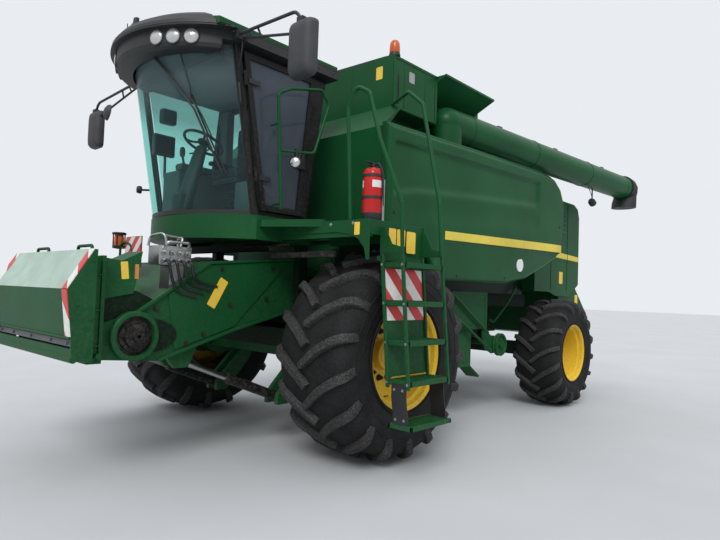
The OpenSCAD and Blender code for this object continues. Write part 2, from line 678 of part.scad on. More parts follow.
// Platform, rails and ladder
module platform() {
    x1 = ladder_in_x - 25;
    color(green) {
        upward(platform_z - 40, platform_z, [[cab_half_w + gap, -900], [850, -900], [1350, -650], [x1, -650], [x1, 40],
            [cab_half_w + gap, 40]]);
        upward(platform_z - 1, platform_z + 22, [[850, -860], [850, -900], [1350, -650], [1350, -610]]);
        block([cab_half_w + gap, -650, platform_z - 135], [x1, -590, platform_z - 39]);
        block([cab_half_w + gap, -60, platform_z - 135], [x1, 0, platform_z - 39]);
    }
}
module handrails() {
    z = platform_z;
    x1 = ladder_in_x + step_depth;
    color(green) {
        bent_tube([[1640, -630, z + 1.6], [1570, -630, z + 930], [1660, -630, z + 1080], [1800, -630, z + 1000],
            [1900, -600, z + 620], [x1 - 20, -step_w + 40, z + 120], [x1, -step_w + 40, ladder_top_z + 1.3]], rail_d, 60);
        bent_tube([[1215, tank_front_y - 17, 3305.3], [1700, -10, z + 1200], [1860, -10, z + 1060],
            [x1 - 20, 0, z + 180], [x1, 20, ladder_top_z + 1.3]], rail_d, 60);
    }
}

// Ladder outside the front wheel, its foot leaning out, with a hanging lowest step
ladder_top_z = 1760;
function lean_x(z) = ladder_lean * (ladder_top_z - z) / (ladder_top_z - 700);
module ladder() {
    x0 = ladder_in_x;
    x1 = x0 + step_depth;
    y0 = 40 - step_w;
    color(green) {
        multmatrix([[1, 0, -ladder_lean / (ladder_top_z - 700), lean_x(0)], [0, 1, 0, 0], [0, 0, 1, 0], [0, 0, 0, 1]]) {
            for (x = [x0, x1]) for (y = [y0, 25])
                block([x - 12, y - 12, 730], [x + 12, y + 12, ladder_top_z]);
            for (z = [770, 1070, 1370, 1670]) block([x0 - 12, y0 + 11, z - 18], [x1 + 12, 14, z + 18]);
            for (y = [y0 + 6, 6]) block([x0 + 30, y, 440], [x1 - 30, y + 10, 760]);
            block([x0 - 12, y0, 430], [x1 + 12, 24, 460]);
            block([x0 - 14, y0 + 11, 800], [x0 - 8, 14, ladder_top_z]);
        }
        block([x0 - 60, y0 - 12, ladder_top_z - 60], [x0 + 5, 37, ladder_top_z - 20]);
        block([x0 - 14, y0 + 11, ladder_top_z - 1], [x0 - 8, 14, platform_z - 50]);
        block([x0 - 60, y0 + 50, ladder_top_z - 60], [x0 - 25 - gap, -61, platform_z - 40 - gap]);
    }
}
module fire_extinguisher() {
    color([0.7, 0.05, 0.05]) translate([1750, -500, platform_z + gap]) {
        cylinder(d = 160, h = 420);
        translate([0, 0, 419]) cylinder(d = 60, h = 60);
    }
}
module beacon() {
    color([0.9, 0.3, 0.05]) translate([tank_half_w + side_box_w - 40, tank_front_y + 60, tank_rim_z + gap]) {
        cylinder(d = 110, h = 60);
        translate([0, 0, 60]) cylinder(d = 90, h = 110);
    }
}

// Feeder house with its drives and the transport guard
feeder_front = -2240;
module feeder_house() {
    w = feeder_half_w;
    color(green) {
        difference() {
            union() {
                across(-w, w, [[-1910, 1220], [-1250, 1655], [-300, 1745], [-150, 1660], [-150, 1340], [-450, 1220],
                    [-1020, 1075], [-1700, 865], [-2160, 900], [-2160, 1150]]);
                translate(feeder_pivot) disc_x(-w, w, pivot_eye_d);
            }
            across(-w + 30, w - 30, [[-2190, 1120], [-1900, 1180], [-1240, 1620], [-100, 1710], [-100, 1340],
                [-1020, 1110], [-1700, 900], [-2190, 930]]);
            both_sides() translate(feeder_pivot) disc_x(w - 40, w + 1, pivot_pin_d + 2 * gap);
        }
        difference() {
            block([-w - 60, feeder_front, 880], [w + 60, feeder_front + 100, 1640]);
            block([-w + 30, feeder_front - 10, 930], [w - 30, feeder_front + 110, 1200]);
        }
        both_sides() across(w - 290, w - 20, [[feeder_front + 99, 1330], [-1890, 1380], [-1830, 1700], [-1990, 1620],
            [feeder_front + 99, 1640]]);
        both_sides() for (x = [lift_x - 100, lift_x + 50])
            across(x, x + 50, [[-1600, 905], [-1300, 998], rod_pin + [60, -60], rod_pin + [-60, -60]]);
        both_sides() translate([0, rod_pin[0], rod_pin[1]]) disc_x(lift_x - 90, lift_x + 90, rod_pin_d);
        both_sides() translate([0, feeder_front + 50, 940]) disc_x(w + 59, w + 130, lock_pin_d);
    }
}
module feeder_drive() {
    color(green) both_sides() translate([0, -1890, 1065]) {
        disc_x(feeder_half_w, feeder_half_w + 40, 380);
        disc_x(feeder_half_w + 40, feeder_half_w + 110, 230);
    }
}
function feeder_top(y) = 1220 + (y + 1910) * 435 / 660 + 0.4;
module multi_coupler() {
    color(grey) {
        block([450, -1700, 1610], [620, -1420, 1760]);
        across(460, 610, [[-1600, feeder_top(-1600)], [-1480, feeder_top(-1480)], [-1480, 1611], [-1600, 1611]]);
        bent_tube([[600, -1660, 1700], [670, -1660, 1790], [670, -1460, 1790], [600, -1460, 1700]], 22, 30);
    }
}
guard_back = feeder_front - gap;
module transport_guard() {
    w = guard_half_w;
    t = guard_sheet;
    color(green) {
        difference() {
            across(-w, w, [[guard_back, 1680], [guard_back - 20, 1680], [-2430, 1400], [-2390, 1080], [-2380, 930],
                [guard_back, 900]]);
            across(-w + t, w - t, [[guard_back + 9, 1640], [-2268, 1640], [-2405, 1396], [-2367, 1080], [-2358, 950],
                [guard_back + 9, 925]]);
            across(-w + t, w - t, [[-2350, 1070], [-2350, 1000], [-2500, 1000], [-2500, 1070]]);
        }
        bar([-w, -2370, 930], [w, -2370, 930], 45);
    }
}

// Lift cylinders, opened at the rods' eyes. Local frame: +Z from the barrel's pin to the rod's pin
barrel_len = 620;
module cylinder_place() {
    translate([lift_x, barrel_pin[0], barrel_pin[1]]) rotate([90 - cyl_angle, 0, 0]) children();
}
module lift_barrels() {
    color(dark) both_sides() cylinder_place() difference() {
        union() {
            translate([0, 0, 40]) cylinder(d = 90, h = barrel_len - 40);
            disc_x(-49.5, 49.5, 110);
        }
        disc_x(-51, 51, pin_d + 1);
        translate([0, 0, 120]) cylinder(d = rod_d + 1, h = barrel_len);
    }
}
module lift_rods() {
    color(grey) both_sides() cylinder_place() difference() {
        union() {
            translate([0, 0, 440]) cylinder(d = rod_d, h = cyl_len - 440);
            translate([0, 0, cyl_len]) disc_x(-44, 44, 116);
        }
        translate([0, 0, cyl_len]) disc_x(-46, 46, rod_pin_d + 2 * eye_play);
    }
}

// Side shields, outline [y, z]
shield_outline = [[70, 1960], [70, 3040], [1620, 3100], [3200, 3150], [3620, 3130], [3860, 2960],
    [3950, 2750], [3960, 2200], [3920, 2070], [3470, 1885], [2900, 1690], [2420, 1620], [900, 1600], [640, 1960]];
shield_roll = 60;
shield_press = 14;
pressed_outline = [[170, 2350], [490, 2415], [1040, 2470], [1830, 2530], [2770, 2600], [3070, 2620], [3170, 2690],
    [3150, 2920], [3060, 2985], [1420, 2910], [390, 2865], [170, 2850]];
function lowered(p, m) = [for (q = p) [q[0], q[1] - (q[1] > 2700 ? m : 0)]];
function shrink(p, c, m) = [for (q = p) [q[0] + (q[0] < c[0] ? m : -m), q[1] + (q[1] < c[1] ? m : -m)]];
module side_shield() {
    x = shield_out_x;
    low = lowered(shield_outline, shield_roll);
    color(green) difference() {
        union() {
            across(x - shield_depth, x - shield_roll, shield_outline);
            across(x - shield_roll - 1, x, low);
        }
        across(x - shield_depth - 1, x - shield_roll - shield_sheet, shrink(shield_outline, [2000, 2400], shield_sheet));
        across(x - shield_depth - 1, x - shield_sheet, shrink(low, [2000, 2400], shield_sheet));
        across(x - shield_press, x + 1, pressed_outline);
    }
}
module side_shield_left() { side_shield(); }
module side_shield_right() { mirror([1, 0, 0]) side_shield(); }

main_frame();
front_axle();
rear_axle();
threshing_body();
rear_hood();
straw_chopper();
side_box();
engine();
engine_deck();
grain_tank();
tank_lid_left();
tank_lid_right();
auger_base();
auger_tube();
auger_spout();
cab_floor();
cab_frame();
cab_glass();
door_frame();
door_glass();
door_rail();
cab_roof();
roof_visor();
roof_lamps();
driver_seat();
steering_wheel();
mirrors();
platform();
handrails();
ladder();
fire_extinguisher();
beacon();
feeder_house();
feeder_drive();
multi_coupler();
transport_guard();
lift_barrels();
lift_rods();
side_shield_left();
side_shield_right();
knuckle_left();
knuckle_right();
front_rim_left();
front_rim_right();
front_tyre_left();
front_tyre_right();
rear_rim_left();
rear_rim_right();
rear_tyre_left();
rear_tyre_right();
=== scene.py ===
"""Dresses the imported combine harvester: materials, tyres, rims, panels, cab fittings and small details."""
import json
from math import acos, asin, atan2, cos, hypot, pi, radians, sin, sqrt, tan, tau

import bmesh
import bpy
from mathutils import Matrix, Vector


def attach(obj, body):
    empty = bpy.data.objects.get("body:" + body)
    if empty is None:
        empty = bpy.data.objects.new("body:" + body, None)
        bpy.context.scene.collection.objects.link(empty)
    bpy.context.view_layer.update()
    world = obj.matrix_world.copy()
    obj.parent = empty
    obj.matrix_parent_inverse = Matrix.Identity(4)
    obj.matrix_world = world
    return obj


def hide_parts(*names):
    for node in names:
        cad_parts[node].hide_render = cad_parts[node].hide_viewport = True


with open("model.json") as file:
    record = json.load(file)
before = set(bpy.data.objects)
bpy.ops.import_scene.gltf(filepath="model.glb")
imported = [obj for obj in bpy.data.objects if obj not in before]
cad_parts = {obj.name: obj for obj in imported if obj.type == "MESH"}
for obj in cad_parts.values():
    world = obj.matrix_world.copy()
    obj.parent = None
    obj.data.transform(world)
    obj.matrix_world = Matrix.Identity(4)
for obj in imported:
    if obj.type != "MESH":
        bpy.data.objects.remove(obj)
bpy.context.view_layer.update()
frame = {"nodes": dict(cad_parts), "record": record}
scene = bpy.context.scene


# ---- materials
def feed(tree, made, inputs):
    """Sets a node's inputs, by name or number, to values or links them to other nodes' outputs."""
    for key, value in inputs.items():
        if isinstance(value, bpy.types.NodeSocket):
            tree.links.new(value, made.inputs[key])
        else:
            made.inputs[key].default_value = value


def node(tree, kind, inputs, **settings):
    made = tree.nodes.new("ShaderNode" + kind)
    for key, value in settings.items():
        setattr(made, key, value)
    feed(tree, made, inputs)
    return made


def new_material(name):
    mat = bpy.data.materials.new(name)
    mat.use_nodes = True
    return mat, mat.node_tree, mat.node_tree.nodes["Principled BSDF"]


def place(tree):
    return node(tree, "TexCoord", {}).outputs["Object"]


def noise(tree, scale, detail, rough=0.55, stretch=None):
    at = place(tree)
    if stretch:
        at = node(tree, "Mapping", {"Vector": at, "Scale": stretch}).outputs["Vector"]
    return node(tree, "TexNoise", {"Vector": at, "Scale": scale, "Detail": detail, "Roughness": rough}).outputs["Fac"]


def ramp(tree, fac, low, high):
    made = node(tree, "ValToRGB", {"Fac": fac})
    for element, position in zip(made.color_ramp.elements, (low, high)):
        element.position = position
    return made.outputs["Color"]


def mix(tree, fac, a, b):
    """a and b are colours or sockets, fac a socket or a number."""
    a, b = (c if isinstance(c, bpy.types.NodeSocket) else (*c, 1) for c in (a, b))
    return node(tree, "Mix", {0: fac, 6: a, 7: b}, data_type="RGBA").outputs[2]


def calc(tree, op, a, b=0):
    return node(tree, "Math", {0: a, 1: b}, operation=op).outputs[0]


def bump(tree, shader, height, strength, distance):
    made = node(tree, "Bump", {"Strength": strength, "Distance": distance, "Height": height})
    feed(tree, shader, {"Normal": made.outputs["Normal"]})


def zone(tree, axis, zero, one, both=False):
    """From 0 to 1 between two places along an axis at rest, in metres, or by the distance from the middle."""
    at = node(tree, "SeparateXYZ", {0: place(tree)}).outputs[axis]
    if both:
        at = calc(tree, "ABSOLUTE", at)
    return node(tree, "MapRange", {"From Min": zero, "From Max": one, "Value": at}).outputs[0]


def dim(rgb, share):
    return tuple(c * share for c in rgb)


def paint(name, rgb, rough, dust, dusty=(3.0, 0.3), coat=0.03, wear=0.0, shade_zone=None):
    """Dust grows down between two heights. The last argument, when given, is (shade, axis, zero, one, both): painted
    shade, a darker colour in one zone.
    """
    mat, tree, shader = new_material(name)
    fine = noise(tree, 34, 6, 0.65)
    colour = mix(tree, ramp(tree, noise(tree, 1.3, 5), 0.38, 0.66), dim(rgb, 0.80), rgb)
    film = calc(tree, "MULTIPLY", ramp(tree, fine, 0.45, 0.78), zone(tree, "Z", *dusty))
    colour = mix(tree, calc(tree, "MULTIPLY", film, dust), colour, DUST)
    if wear:
        chips = ramp(tree, noise(tree, 60, 3, 0.7), 0.70, 0.73)
        colour = mix(tree, calc(tree, "MULTIPLY", chips, wear), colour, BARE)
    # painted shade: the darker colour laid over the zone
    if shade_zone:
        colour = mix(tree, zone(tree, *shade_zone[1:]), colour, shade_zone[0])
    sheen = node(tree, "MapRange", {"To Min": rough - 0.06, "To Max": rough + 0.2, "Value": fine}).outputs[0]
    feed(tree, shader, {"Base Color": colour, "Roughness": sheen, "Specular IOR Level": 0.14,
                        "Coat Weight": coat, "Coat Roughness": 0.12})
    bump(tree, shader, noise(tree, 9, 2), 0.06, 0.01)
    return mat


def plain(name, rgb, rough=0.5, metallic=0.0, grain=120, strength=0.15, vary=0.25, spec=0.5):
    mat, tree, shader = new_material(name)
    colour = mix(tree, ramp(tree, noise(tree, 6, 4), 0.35, 0.7), dim(rgb, 1 - vary), rgb)
    feed(tree, shader, {"Base Color": colour, "Roughness": rough, "Metallic": metallic, "Specular IOR Level": spec})
    bump(tree, shader, noise(tree, grain, 3), strength, 0.001)
    return mat


def rubber(name, dusty, shade=1.0):
    mat, tree, shader = new_material(name)
    fine = noise(tree, 70, 5, 0.7)
    # shade dims the rubber below its own colour: painted shade
    dark = mix(tree, ramp(tree, noise(tree, 5, 6, 0.6), 0.38, 0.62),
               dim((0.012, 0.012, 0.013), shade), dim((0.026, 0.026, 0.027), shade))
    film = calc(tree, "MULTIPLY", ramp(tree, fine, 0.42, 0.72), dusty)
    feed(tree, shader, {"Base Color": mix(tree, film, dark, (0.105, 0.100, 0.095)), "Roughness": 0.72,
                        "Specular IOR Level": 0.22})
    bump(tree, shader, fine, 0.35, 0.003)
    return mat


def glass(name, tint, low, high, painted_reflection):
    """Tinted glass: most of it passes light through the tint, and its own surface, whose flat streaked colour is a
    painted reflection, shows more towards the roof, where it stands for the tinted sunshade band as well as a
    stronger painted reflection.
    """
    mat, tree, shader = new_material(name)
    streak = ramp(tree, noise(tree, 2.2, 4, 0.6, (1, 1, 0.35)), 0.35, 0.75)
    feed(tree, shader, {"Base Color": mix(tree, streak, dim(painted_reflection, 0.75), painted_reflection), "Roughness": 0.03,
                        "Specular IOR Level": 0.25})
    clear = node(tree, "BsdfTransparent", {"Color": (*tint, 1)})
    # painted reflection with the sunshade tint: the surface's share rises from low below 2.95 m to high above 3.25 m
    cover = node(tree, "MapRange", {"To Min": high, "To Max": low, "Value": zone(tree, "Z", 3.25, 2.95)})
    blend = node(tree, "MixShader", {"Fac": cover.outputs[0], 1: clear.outputs[0], 2: shader.outputs[0]})
    feed(tree, tree.nodes["Material Output"], {"Surface": blend.outputs[0]})
    return mat


def stripes(name, angle, pitch, shift=0.0):
    """Slanting red and white bands, set by the place at rest."""
    mat, tree, shader = new_material(name)
    split = node(tree, "SeparateXYZ", {0: place(tree)}).outputs
    along = calc(tree, "ADD", calc(tree, "ADD", split["X"], split["Y"]), shift)
    phase = calc(tree, "ADD", along, calc(tree, "MULTIPLY", split["Z"], tan(radians(angle))))
    edge = ramp(tree, calc(tree, "FRACT", calc(tree, "DIVIDE", phase, pitch)), 0.497, 0.503)
    grime = calc(tree, "MULTIPLY", ramp(tree, noise(tree, 25, 5), 0.4, 0.8), 0.25)
    colour = mix(tree, edge, (0.62, 0.03, 0.035), (0.78, 0.77, 0.74))
    feed(tree, shader, {"Base Color": mix(tree, grime, colour, DUST), "Roughness": 0.35})
    return mat


DUST, BARE = (0.19, 0.16, 0.12), (0.10, 0.085, 0.075)
GREEN, SHADED_GREEN = (0.009, 0.086, 0.026), (0.0035, 0.017, 0.008)
YELLOW, SHADED_YELLOW = (0.86, 0.56, 0.035), (0.055, 0.042, 0.025)
M = {
    "green": paint("green_enamel", GREEN, 0.30, 0.10),
    # beyond Y 0.385 to 0.400 m the body turns to the shaded green: painted shade on its sides under the shields
    "green_body": paint("green_enamel_body", GREEN, 0.32, 0.15, wear=0.1,
                        shade_zone=(SHADED_GREEN, "Y", 0.385, 0.400)),
    "green_low": paint("green_enamel_dusty", GREEN, 0.42, 0.30, (2.2, 0.2), wear=0.3),
    # a copy of the green paint dimmed to the shaded green: painted shade for parts that stand in shade, with dust and
    # wear on it
    "green_painted_shade": paint("green_enamel_shaded", SHADED_GREEN, 0.55, 0.25, (2.2, 0.2), 0.0, 0.3),
    # within 1.30 m of the middle the yellow turns to a dark shaded yellow: painted shade on the inner half of the
    # rims
    "yellow": paint("yellow_enamel", YELLOW, 0.35, 0.5, (1.9, 0.1), 0.2, 0.25,
                    (SHADED_YELLOW, "X", 1.36, 1.30, True)),
    "stripe": paint("yellow_stripe", (0.82, 0.66, 0.10), 0.4, 0.15, coat=0.1),
    "black": paint("black_enamel", (0.012, 0.012, 0.013), 0.35, 0.5, (3.8, 0.3), 0.1),
    "red": paint("red_enamel", (0.60, 0.018, 0.018), 0.28, 0.15, coat=0.4),
    "plastic": plain("black_plastic", (0.022, 0.022, 0.024), 0.55),
    "plastic_soft": plain("mirror_housing_plastic", (0.045, 0.046, 0.050), 0.6, 0, 300, 0.4),
    "plastic_grey": plain("grey_plastic", (0.10, 0.105, 0.11), 0.5),
    "hose": plain("hose_rubber", (0.018, 0.018, 0.018), 0.45),
    "boot": plain("boot_rubber", (0.020, 0.020, 0.021), 0.65, 0, 90, 0.4),
    # the carcass is dimmed to half: painted shade in the gaps between the lugs; the lugs carry more dust
    "rubber": rubber("tyre_rubber", 0.14, 0.5),
    "lug": rubber("tyre_lug_rubber", 0.85),
    "steel": plain("bare_steel", (0.52, 0.52, 0.51), 0.34, 1.0, 200, 0.1),
    "iron": plain("cast_iron", (0.16, 0.16, 0.16), 0.7, 0.4, 60, 0.4),
    "nut": plain("dark_nuts", (0.05, 0.04, 0.035), 0.5, 0.6),
    "plate": plain("blank_plate", (0.42, 0.43, 0.43), 0.4, 0.6, 90, 0.05, 0.1),
    "mirror": plain("mirror_glass", (0.75, 0.78, 0.80), 0.04, 1.0, 5, 0.0, 0.03),
    "lamp": plain("lamp_glass", (0.60, 0.61, 0.61), 0.18, 0.3, 260, 0.5, 0.15),
    "amber": plain("amber_lens", (0.62, 0.115, 0.014), 0.2, 0.0, 180, 0.3, 0.2),
    "label": plain("blank_label", (0.78, 0.77, 0.72), 0.5, 0, 80, 0.03, 0.08),
    "sticker": plain("blank_yellow_sticker", (0.90, 0.60, 0.06), 0.45, 0, 80, 0.03, 0.12),
    "tan": plain("blank_orange_sticker", (0.62, 0.27, 0.05), 0.5, 0, 80, 0.03, 0.12),
    "white": plain("blank_white_sticker", (0.80, 0.82, 0.80), 0.45, 0, 80, 0.03, 0.08),
    "cloth": plain("seat_cloth", (0.055, 0.058, 0.065), 0.9, 0, 900, 0.6, 0.3, 0.2),
    # pale grey-green: the green sheet with a painted highlight
    "skirt": plain("green_sheet_painted_highlight", (0.42, 0.55, 0.47), 0.5, 0, 40, 0.1, 0.2),
    # the last colour of each glass is a painted reflection; the door glass shows mostly its surface
    "glass": glass("cab_glass", (0.76, 0.955, 0.925), 0.08, 0.34, (0.20, 0.24, 0.27)),
    "door_glass": glass("door_glass", (0.30, 0.36, 0.40), 0.62, 0.80, (0.095, 0.115, 0.145)),
    "board": stripes("warning_board", -45, 0.16),
    "step_board": stripes("warning_board_steps", 45, 0.26, 0.07),
    "band": stripes("warning_band", 40, 0.30),
}
# each material slot of the record with the looks that belong to it; a plain CAD node takes the first one
SLOT_LOOKS = {
    "green_paint": ("green", "green_body", "green_low", "green_painted_shade", "skirt", "white"),
    "yellow_paint": ("yellow", "stripe", "sticker", "tan"),
    "red_paint": ("red", "label", "board", "step_board", "band"),
    "black_plastic": ("plastic", "plastic_soft", "plastic_grey", "hose"),
    "bare_steel": ("steel", "nut", "plate", "mirror"),
    "tyre_rubber": ("rubber", "lug"),
    "black_paint": ("black",), "seat_cloth": ("cloth",), "engine_iron": ("iron",), "cab_glass": ("glass",),
    "lamp_glass": ("lamp",), "spout_rubber": ("boot",), "orange_lens": ("amber",),
}
# main_frame and rear_axle take the shaded green: painted shade
NODE_LOOK = {"door_glass": "door_glass", "threshing_body": "green_body", "main_frame": "green_painted_shade",
             "rear_axle": "green_painted_shade"}
NODE_LOOK.update(dict.fromkeys(("front_axle", "straw_chopper", "side_box", "ladder", "feeder_house",
                                "feeder_drive", "transport_guard"), "green_low"))
for row in frame["record"]["subparts"]:
    materials = frame["nodes"][row["node"]].data.materials
    materials.clear()
    materials.append(M[NODE_LOOK.get(row["node"], SLOT_LOOKS[row["material_slot"]][0])])


# ---- mesh building
# The forms of one piece are gathered here, in millimetres in the CAD frame, until done() makes the piece of them.
MM = 0.001
HERE = (0, 0, 0)
bm = bmesh.new()


def vec(x, y, z):
    return Vector((x, y, z))


def turns(n):
    return [tau * i / n for i in range(n)]


def corner(p):
    return bm.verts.new([c * MM for c in p])


def loft(rings, closed=False):
    """Rings of equal length, joined one to the next; the row of rings has end caps or is closed on itself."""
    made = [[corner(p) for p in ring] for ring in rings]
    for a, b in list(zip(made, made[1:])) + [(made[-1], made[0])] * closed:
        for i in range(len(a)):
            k = (i + 1) % len(a)
            bm.faces.new((a[i], a[k], b[k], b[i]))
    if not closed:
        bm.faces.new(made[0][::-1])
        bm.faces.new(made[-1])


def prism(outline, axis, lo, hi, at=HERE):
    """outline is 2-D, in the order of the two other axes."""
    loft([[[c + d for c, d in zip((*p[:axis], t, *p[axis:]), at)] for p in outline] for t in (lo, hi)])


def box(lo, hi, at=HERE):
    """A box between two corners, whose x may come in either order."""
    (x0, x1), (y0, y1) = sorted((lo[0], hi[0])), (lo[1], hi[1])
    prism([(x0, y0), (x1, y0), (x1, y1), (x0, y1)], 2, lo[2], hi[2], at)


def disc(a, b, r, n=32, r2=None):
    """A round bar or a cone from a to b."""
    a, b = Vector(a), Vector(b)
    z = (b - a).normalized()
    x = z.orthogonal().normalized()
    y = z.cross(x)
    loft([[c + rad * (cos(t) * x + sin(t) * y) for t in turns(n)] for c, rad in ((a, r), (b, r2 or r))])


def turned(profile, centre, n=96, axis=0, sign=1):
    """profile of (radius, distance along the axis), closed on itself; axis is 0, 1, 2 or a direction."""
    if isinstance(axis, int):
        along, x = (Vector([i == k % 3 for i in range(3)]) for k in (axis, axis + 1))
    else:
        along = Vector(axis).normalized()
        x = along.orthogonal().normalized()
    y = along.cross(x)
    loft([[Vector(centre) + along * d * sign + (x * cos(t) + y * sin(t)) * r for r, d in profile]
          for t in turns(n)], True)


def smooth_path(pts, steps):
    """Rounds each corner of a path with a short arc of points."""
    if steps < 2 or len(pts) < 3:
        return pts
    out = [pts[0]]
    for a, b, c in zip(pts, pts[1:], pts[2:]):
        reach = min((b - a).length, (c - b).length) * 0.42
        p, q = b + (a - b).normalized() * reach, b + (c - b).normalized() * reach
        for t in (i / steps for i in range(steps + 1)):
            out.append((1 - t) ** 2 * p + 2 * t * (1 - t) * b + t * t * q)
    return out + [pts[-1]]


def tube(points, r, n=12, bend=4, at=HERE):
    """A round bar along a path."""
    pts = smooth_path([Vector(p) + Vector(at) for p in points], bend)
    rings, x = [], None
    for i, p in enumerate(pts):
        t = (pts[min(i + 1, len(pts) - 1)] - pts[max(i - 1, 0)]).normalized()
        x = t.orthogonal().normalized() if x is None else (x - t * x.dot(t)).normalized()
        y = t.cross(x)
        rings.append([p + r * (cos(a) * x + sin(a) * y) for a in turns(n)])
    loft(rings)


def arc_corners(cx, cy, reach_x, reach_y, r, steps, turn):
    """A rounded rectangle's outline; the centres of its corner arcs stand at the reaches from its middle."""
    return [(cx + sx * reach_x + r * cos(t), cy + sy * reach_y + r * sin(t))
            for sx, sy, start in ((1, 1, 0), (-1, 1, 90), (-1, -1, 180), (1, -1, 270))
            for t in (radians(start + turn * i) for i in range(steps))]


def rounded_box(lo, hi, r, k=4):
    """A box whose upright edges and top and bottom rims are rounded; its x may come in either order."""
    (x0, x1), (y0, y1), (z0, z1) = sorted((lo[0], hi[0])), (lo[1], hi[1]), (lo[2], hi[2])
    levels = [(r * 0.98 * (1 - sin(t)), r * (1 - cos(t))) for t in (pi / 2 * i / k for i in range(k + 1))]
    levels = [(inset, z0 + up) for inset, up in levels] + [(inset, z1 - up) for inset, up in reversed(levels)]
    loft([[(x, y, z) for x, y in arc_corners((x0 + x1) / 2, (y0 + y1) / 2, (x1 - x0) / 2 - r, (y1 - y0) / 2 - r,
                                             r - inset, k + 1, 90 / k)] for inset, z in levels])


def done(name, look, body="chassis", sharp=35, bevel=0, replaces=()):
    """Makes the piece from the forms gathered, and leaves the mesh empty for the next one."""
    bmesh.ops.recalc_face_normals(bm, faces=bm.faces)
    mesh = bpy.data.meshes.new(name)
    bm.to_mesh(mesh)
    bm.clear()
    obj = bpy.data.objects.new(name, mesh)
    scene.collection.objects.link(obj)
    if bevel:
        mod = obj.modifiers.new("edges", "BEVEL")
        mod.width = bevel * MM
        mod.segments = 2
        mod.limit_method = "ANGLE"
        mod.angle_limit = radians(40)
    mesh.shade_smooth()
    mesh.set_sharp_from_angle(angle=radians(sharp))
    mesh.materials.append(M[look])
    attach(obj, body)
    if replaces:
        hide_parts(*replaces)
    return obj


def labels(name, look, rows, body="chassis"):
    """Blank stickers: (centre, along, up, width, height); plates 1.5 mm proud with rounded corners."""
    for centre, along, up, w, h in rows:
        c, a, u = Vector(centre), Vector(along).normalized(), Vector(up)
        n = a.cross(u).normalized()
        u = n.cross(a).normalized()
        r = min(w, h) * 0.12
        outline = arc_corners(0, 0, w / 2 - r, h / 2 - r, r, 4, 30)
        loft([[c + a * x + u * y + n * d for x, y in outline] for d in (-1.5, 1.5)])
    done(name, look, body, 40)


def bolts(name, look, rows, r, h, body="chassis"):
    """Hexagon heads on washers: rows of (place, direction)."""
    for p, d in rows:
        p, d = Vector(p), Vector(d).normalized()
        disc(p - d * 4, p + d * 2, r * 1.5, 16)
        disc(p + d * 2, p + d * (2 + h), r, 6)
    done(name, look, body, 30)


SIDES = (("left", 1), ("right", -1))
UP = vec(0, 0, 1)


# ---- tyres and rims
def tyre_profile(r, w, rim_r):
    """(distance from the middle, radius) from the crown round the shoulder to the bead."""
    h = r - rim_r
    crown = [(0, 0), (0.20, 4), (0.36, 22), (0.43, 45), (0.472, 85)]
    wall = [(0.492, 0.34), (0.5, 0.52), (0.492, 0.68), (0.468, 0.84), (0.445, 0.93), (0.425, 0.985), (0.40, 1)]
    return [(w * x, r - drop) for x, drop in crown] + [(w * x, r - h * drop) for x, drop in wall]


def along_profile(profile, s):
    """The place and outward normal at arc length s along a profile."""
    for a, b in zip(profile, profile[1:]):
        step = hypot(b[0] - a[0], b[1] - a[1])
        if s <= step or b is profile[-1]:
            dx, dr = (b[0] - a[0]) / step, (b[1] - a[1]) / step
            return (a[0] + s * dx, a[1] + s * dr), (-dr, dx)
        s -= step


def tyre(name, centre, out, r, w, rim_r, lugs, depth, lug_w, body):
    carcass = tyre_profile(r - depth, w, rim_r)
    full = [(rad, -x) for x, rad in reversed(carcass)] + [(rad, x) for x, rad in carcass[1:]]
    turned(full + [(rim_r - 4, w * 0.38), (rim_r - 4, -w * 0.38)], centre, 128)
    done(name, "rubber", body, 60, replaces=(name,))
    reach, length, stations = w * 0.5 + 85, w * 0.47, 12

    def path(t):
        """(arc length from the middle, arc length round the wheel) at t along a lug."""
        u = t * reach / length
        return t * reach, w * (0.155 - 0.31 * (1.38 * u - 0.36 * u * u))

    for k in range(lugs):
        for side in (1, -1):
            start = tau * (k + (0.5 if side != out else 0)) / lugs
            rings = []
            for i in range(stations + 1):
                t = i / stations
                (s0, q0), (s1, q1), (s, q) = path(t - 0.02), path(t + 0.02), path(t)
                size = hypot(s1 - s0, q1 - q0)
                ds, dq = (s1 - s0) / size, (q1 - q0) / size
                if i == 0:
                    s, q = s - ds * 30, q - dq * 30
                height = depth * (1.0 if t < 0.74 else max(0.10, 1 - (t - 0.74) / 0.29))
                half = lug_w * (0.44 + 0.16 * t)
                ring = []
                for across, up in ((-1, -6), (-0.84, height * 0.88), (-0.68, height), (0.68, height),
                                   (0.84, height * 0.88), (1, -6)):
                    sp, qp = s - across * half * dq, q + across * half * ds
                    (x, rad), normal = along_profile(carcass, sp) if sp > 0 else ((sp, r - depth), (0, 1))
                    rr, a = min(rad + normal[1] * up, r), start + qp / r
                    ring.append(Vector(centre) + vec(side * (x + normal[0] * up), -rr * sin(a), rr * cos(a)))
                rings.append(ring)
            loft(rings)
    done(name + "_lugs", "lug", body, 40)
    for side in (1, -1):
        for share, wide, thick in ((0.90, 0.468, 6), (0.60, 0.496, 4), (0.42, 0.496, 4)):
            rr, x = rim_r + (r - depth - rim_r) * (1 - share), w * wide
            turned([(rr - 12, x - 6), (rr - 8, x + thick), (rr + 8, x + thick), (rr + 12, x - 6)], centre, sign=side)
    done(name + "_rings", "rubber", body, 50)


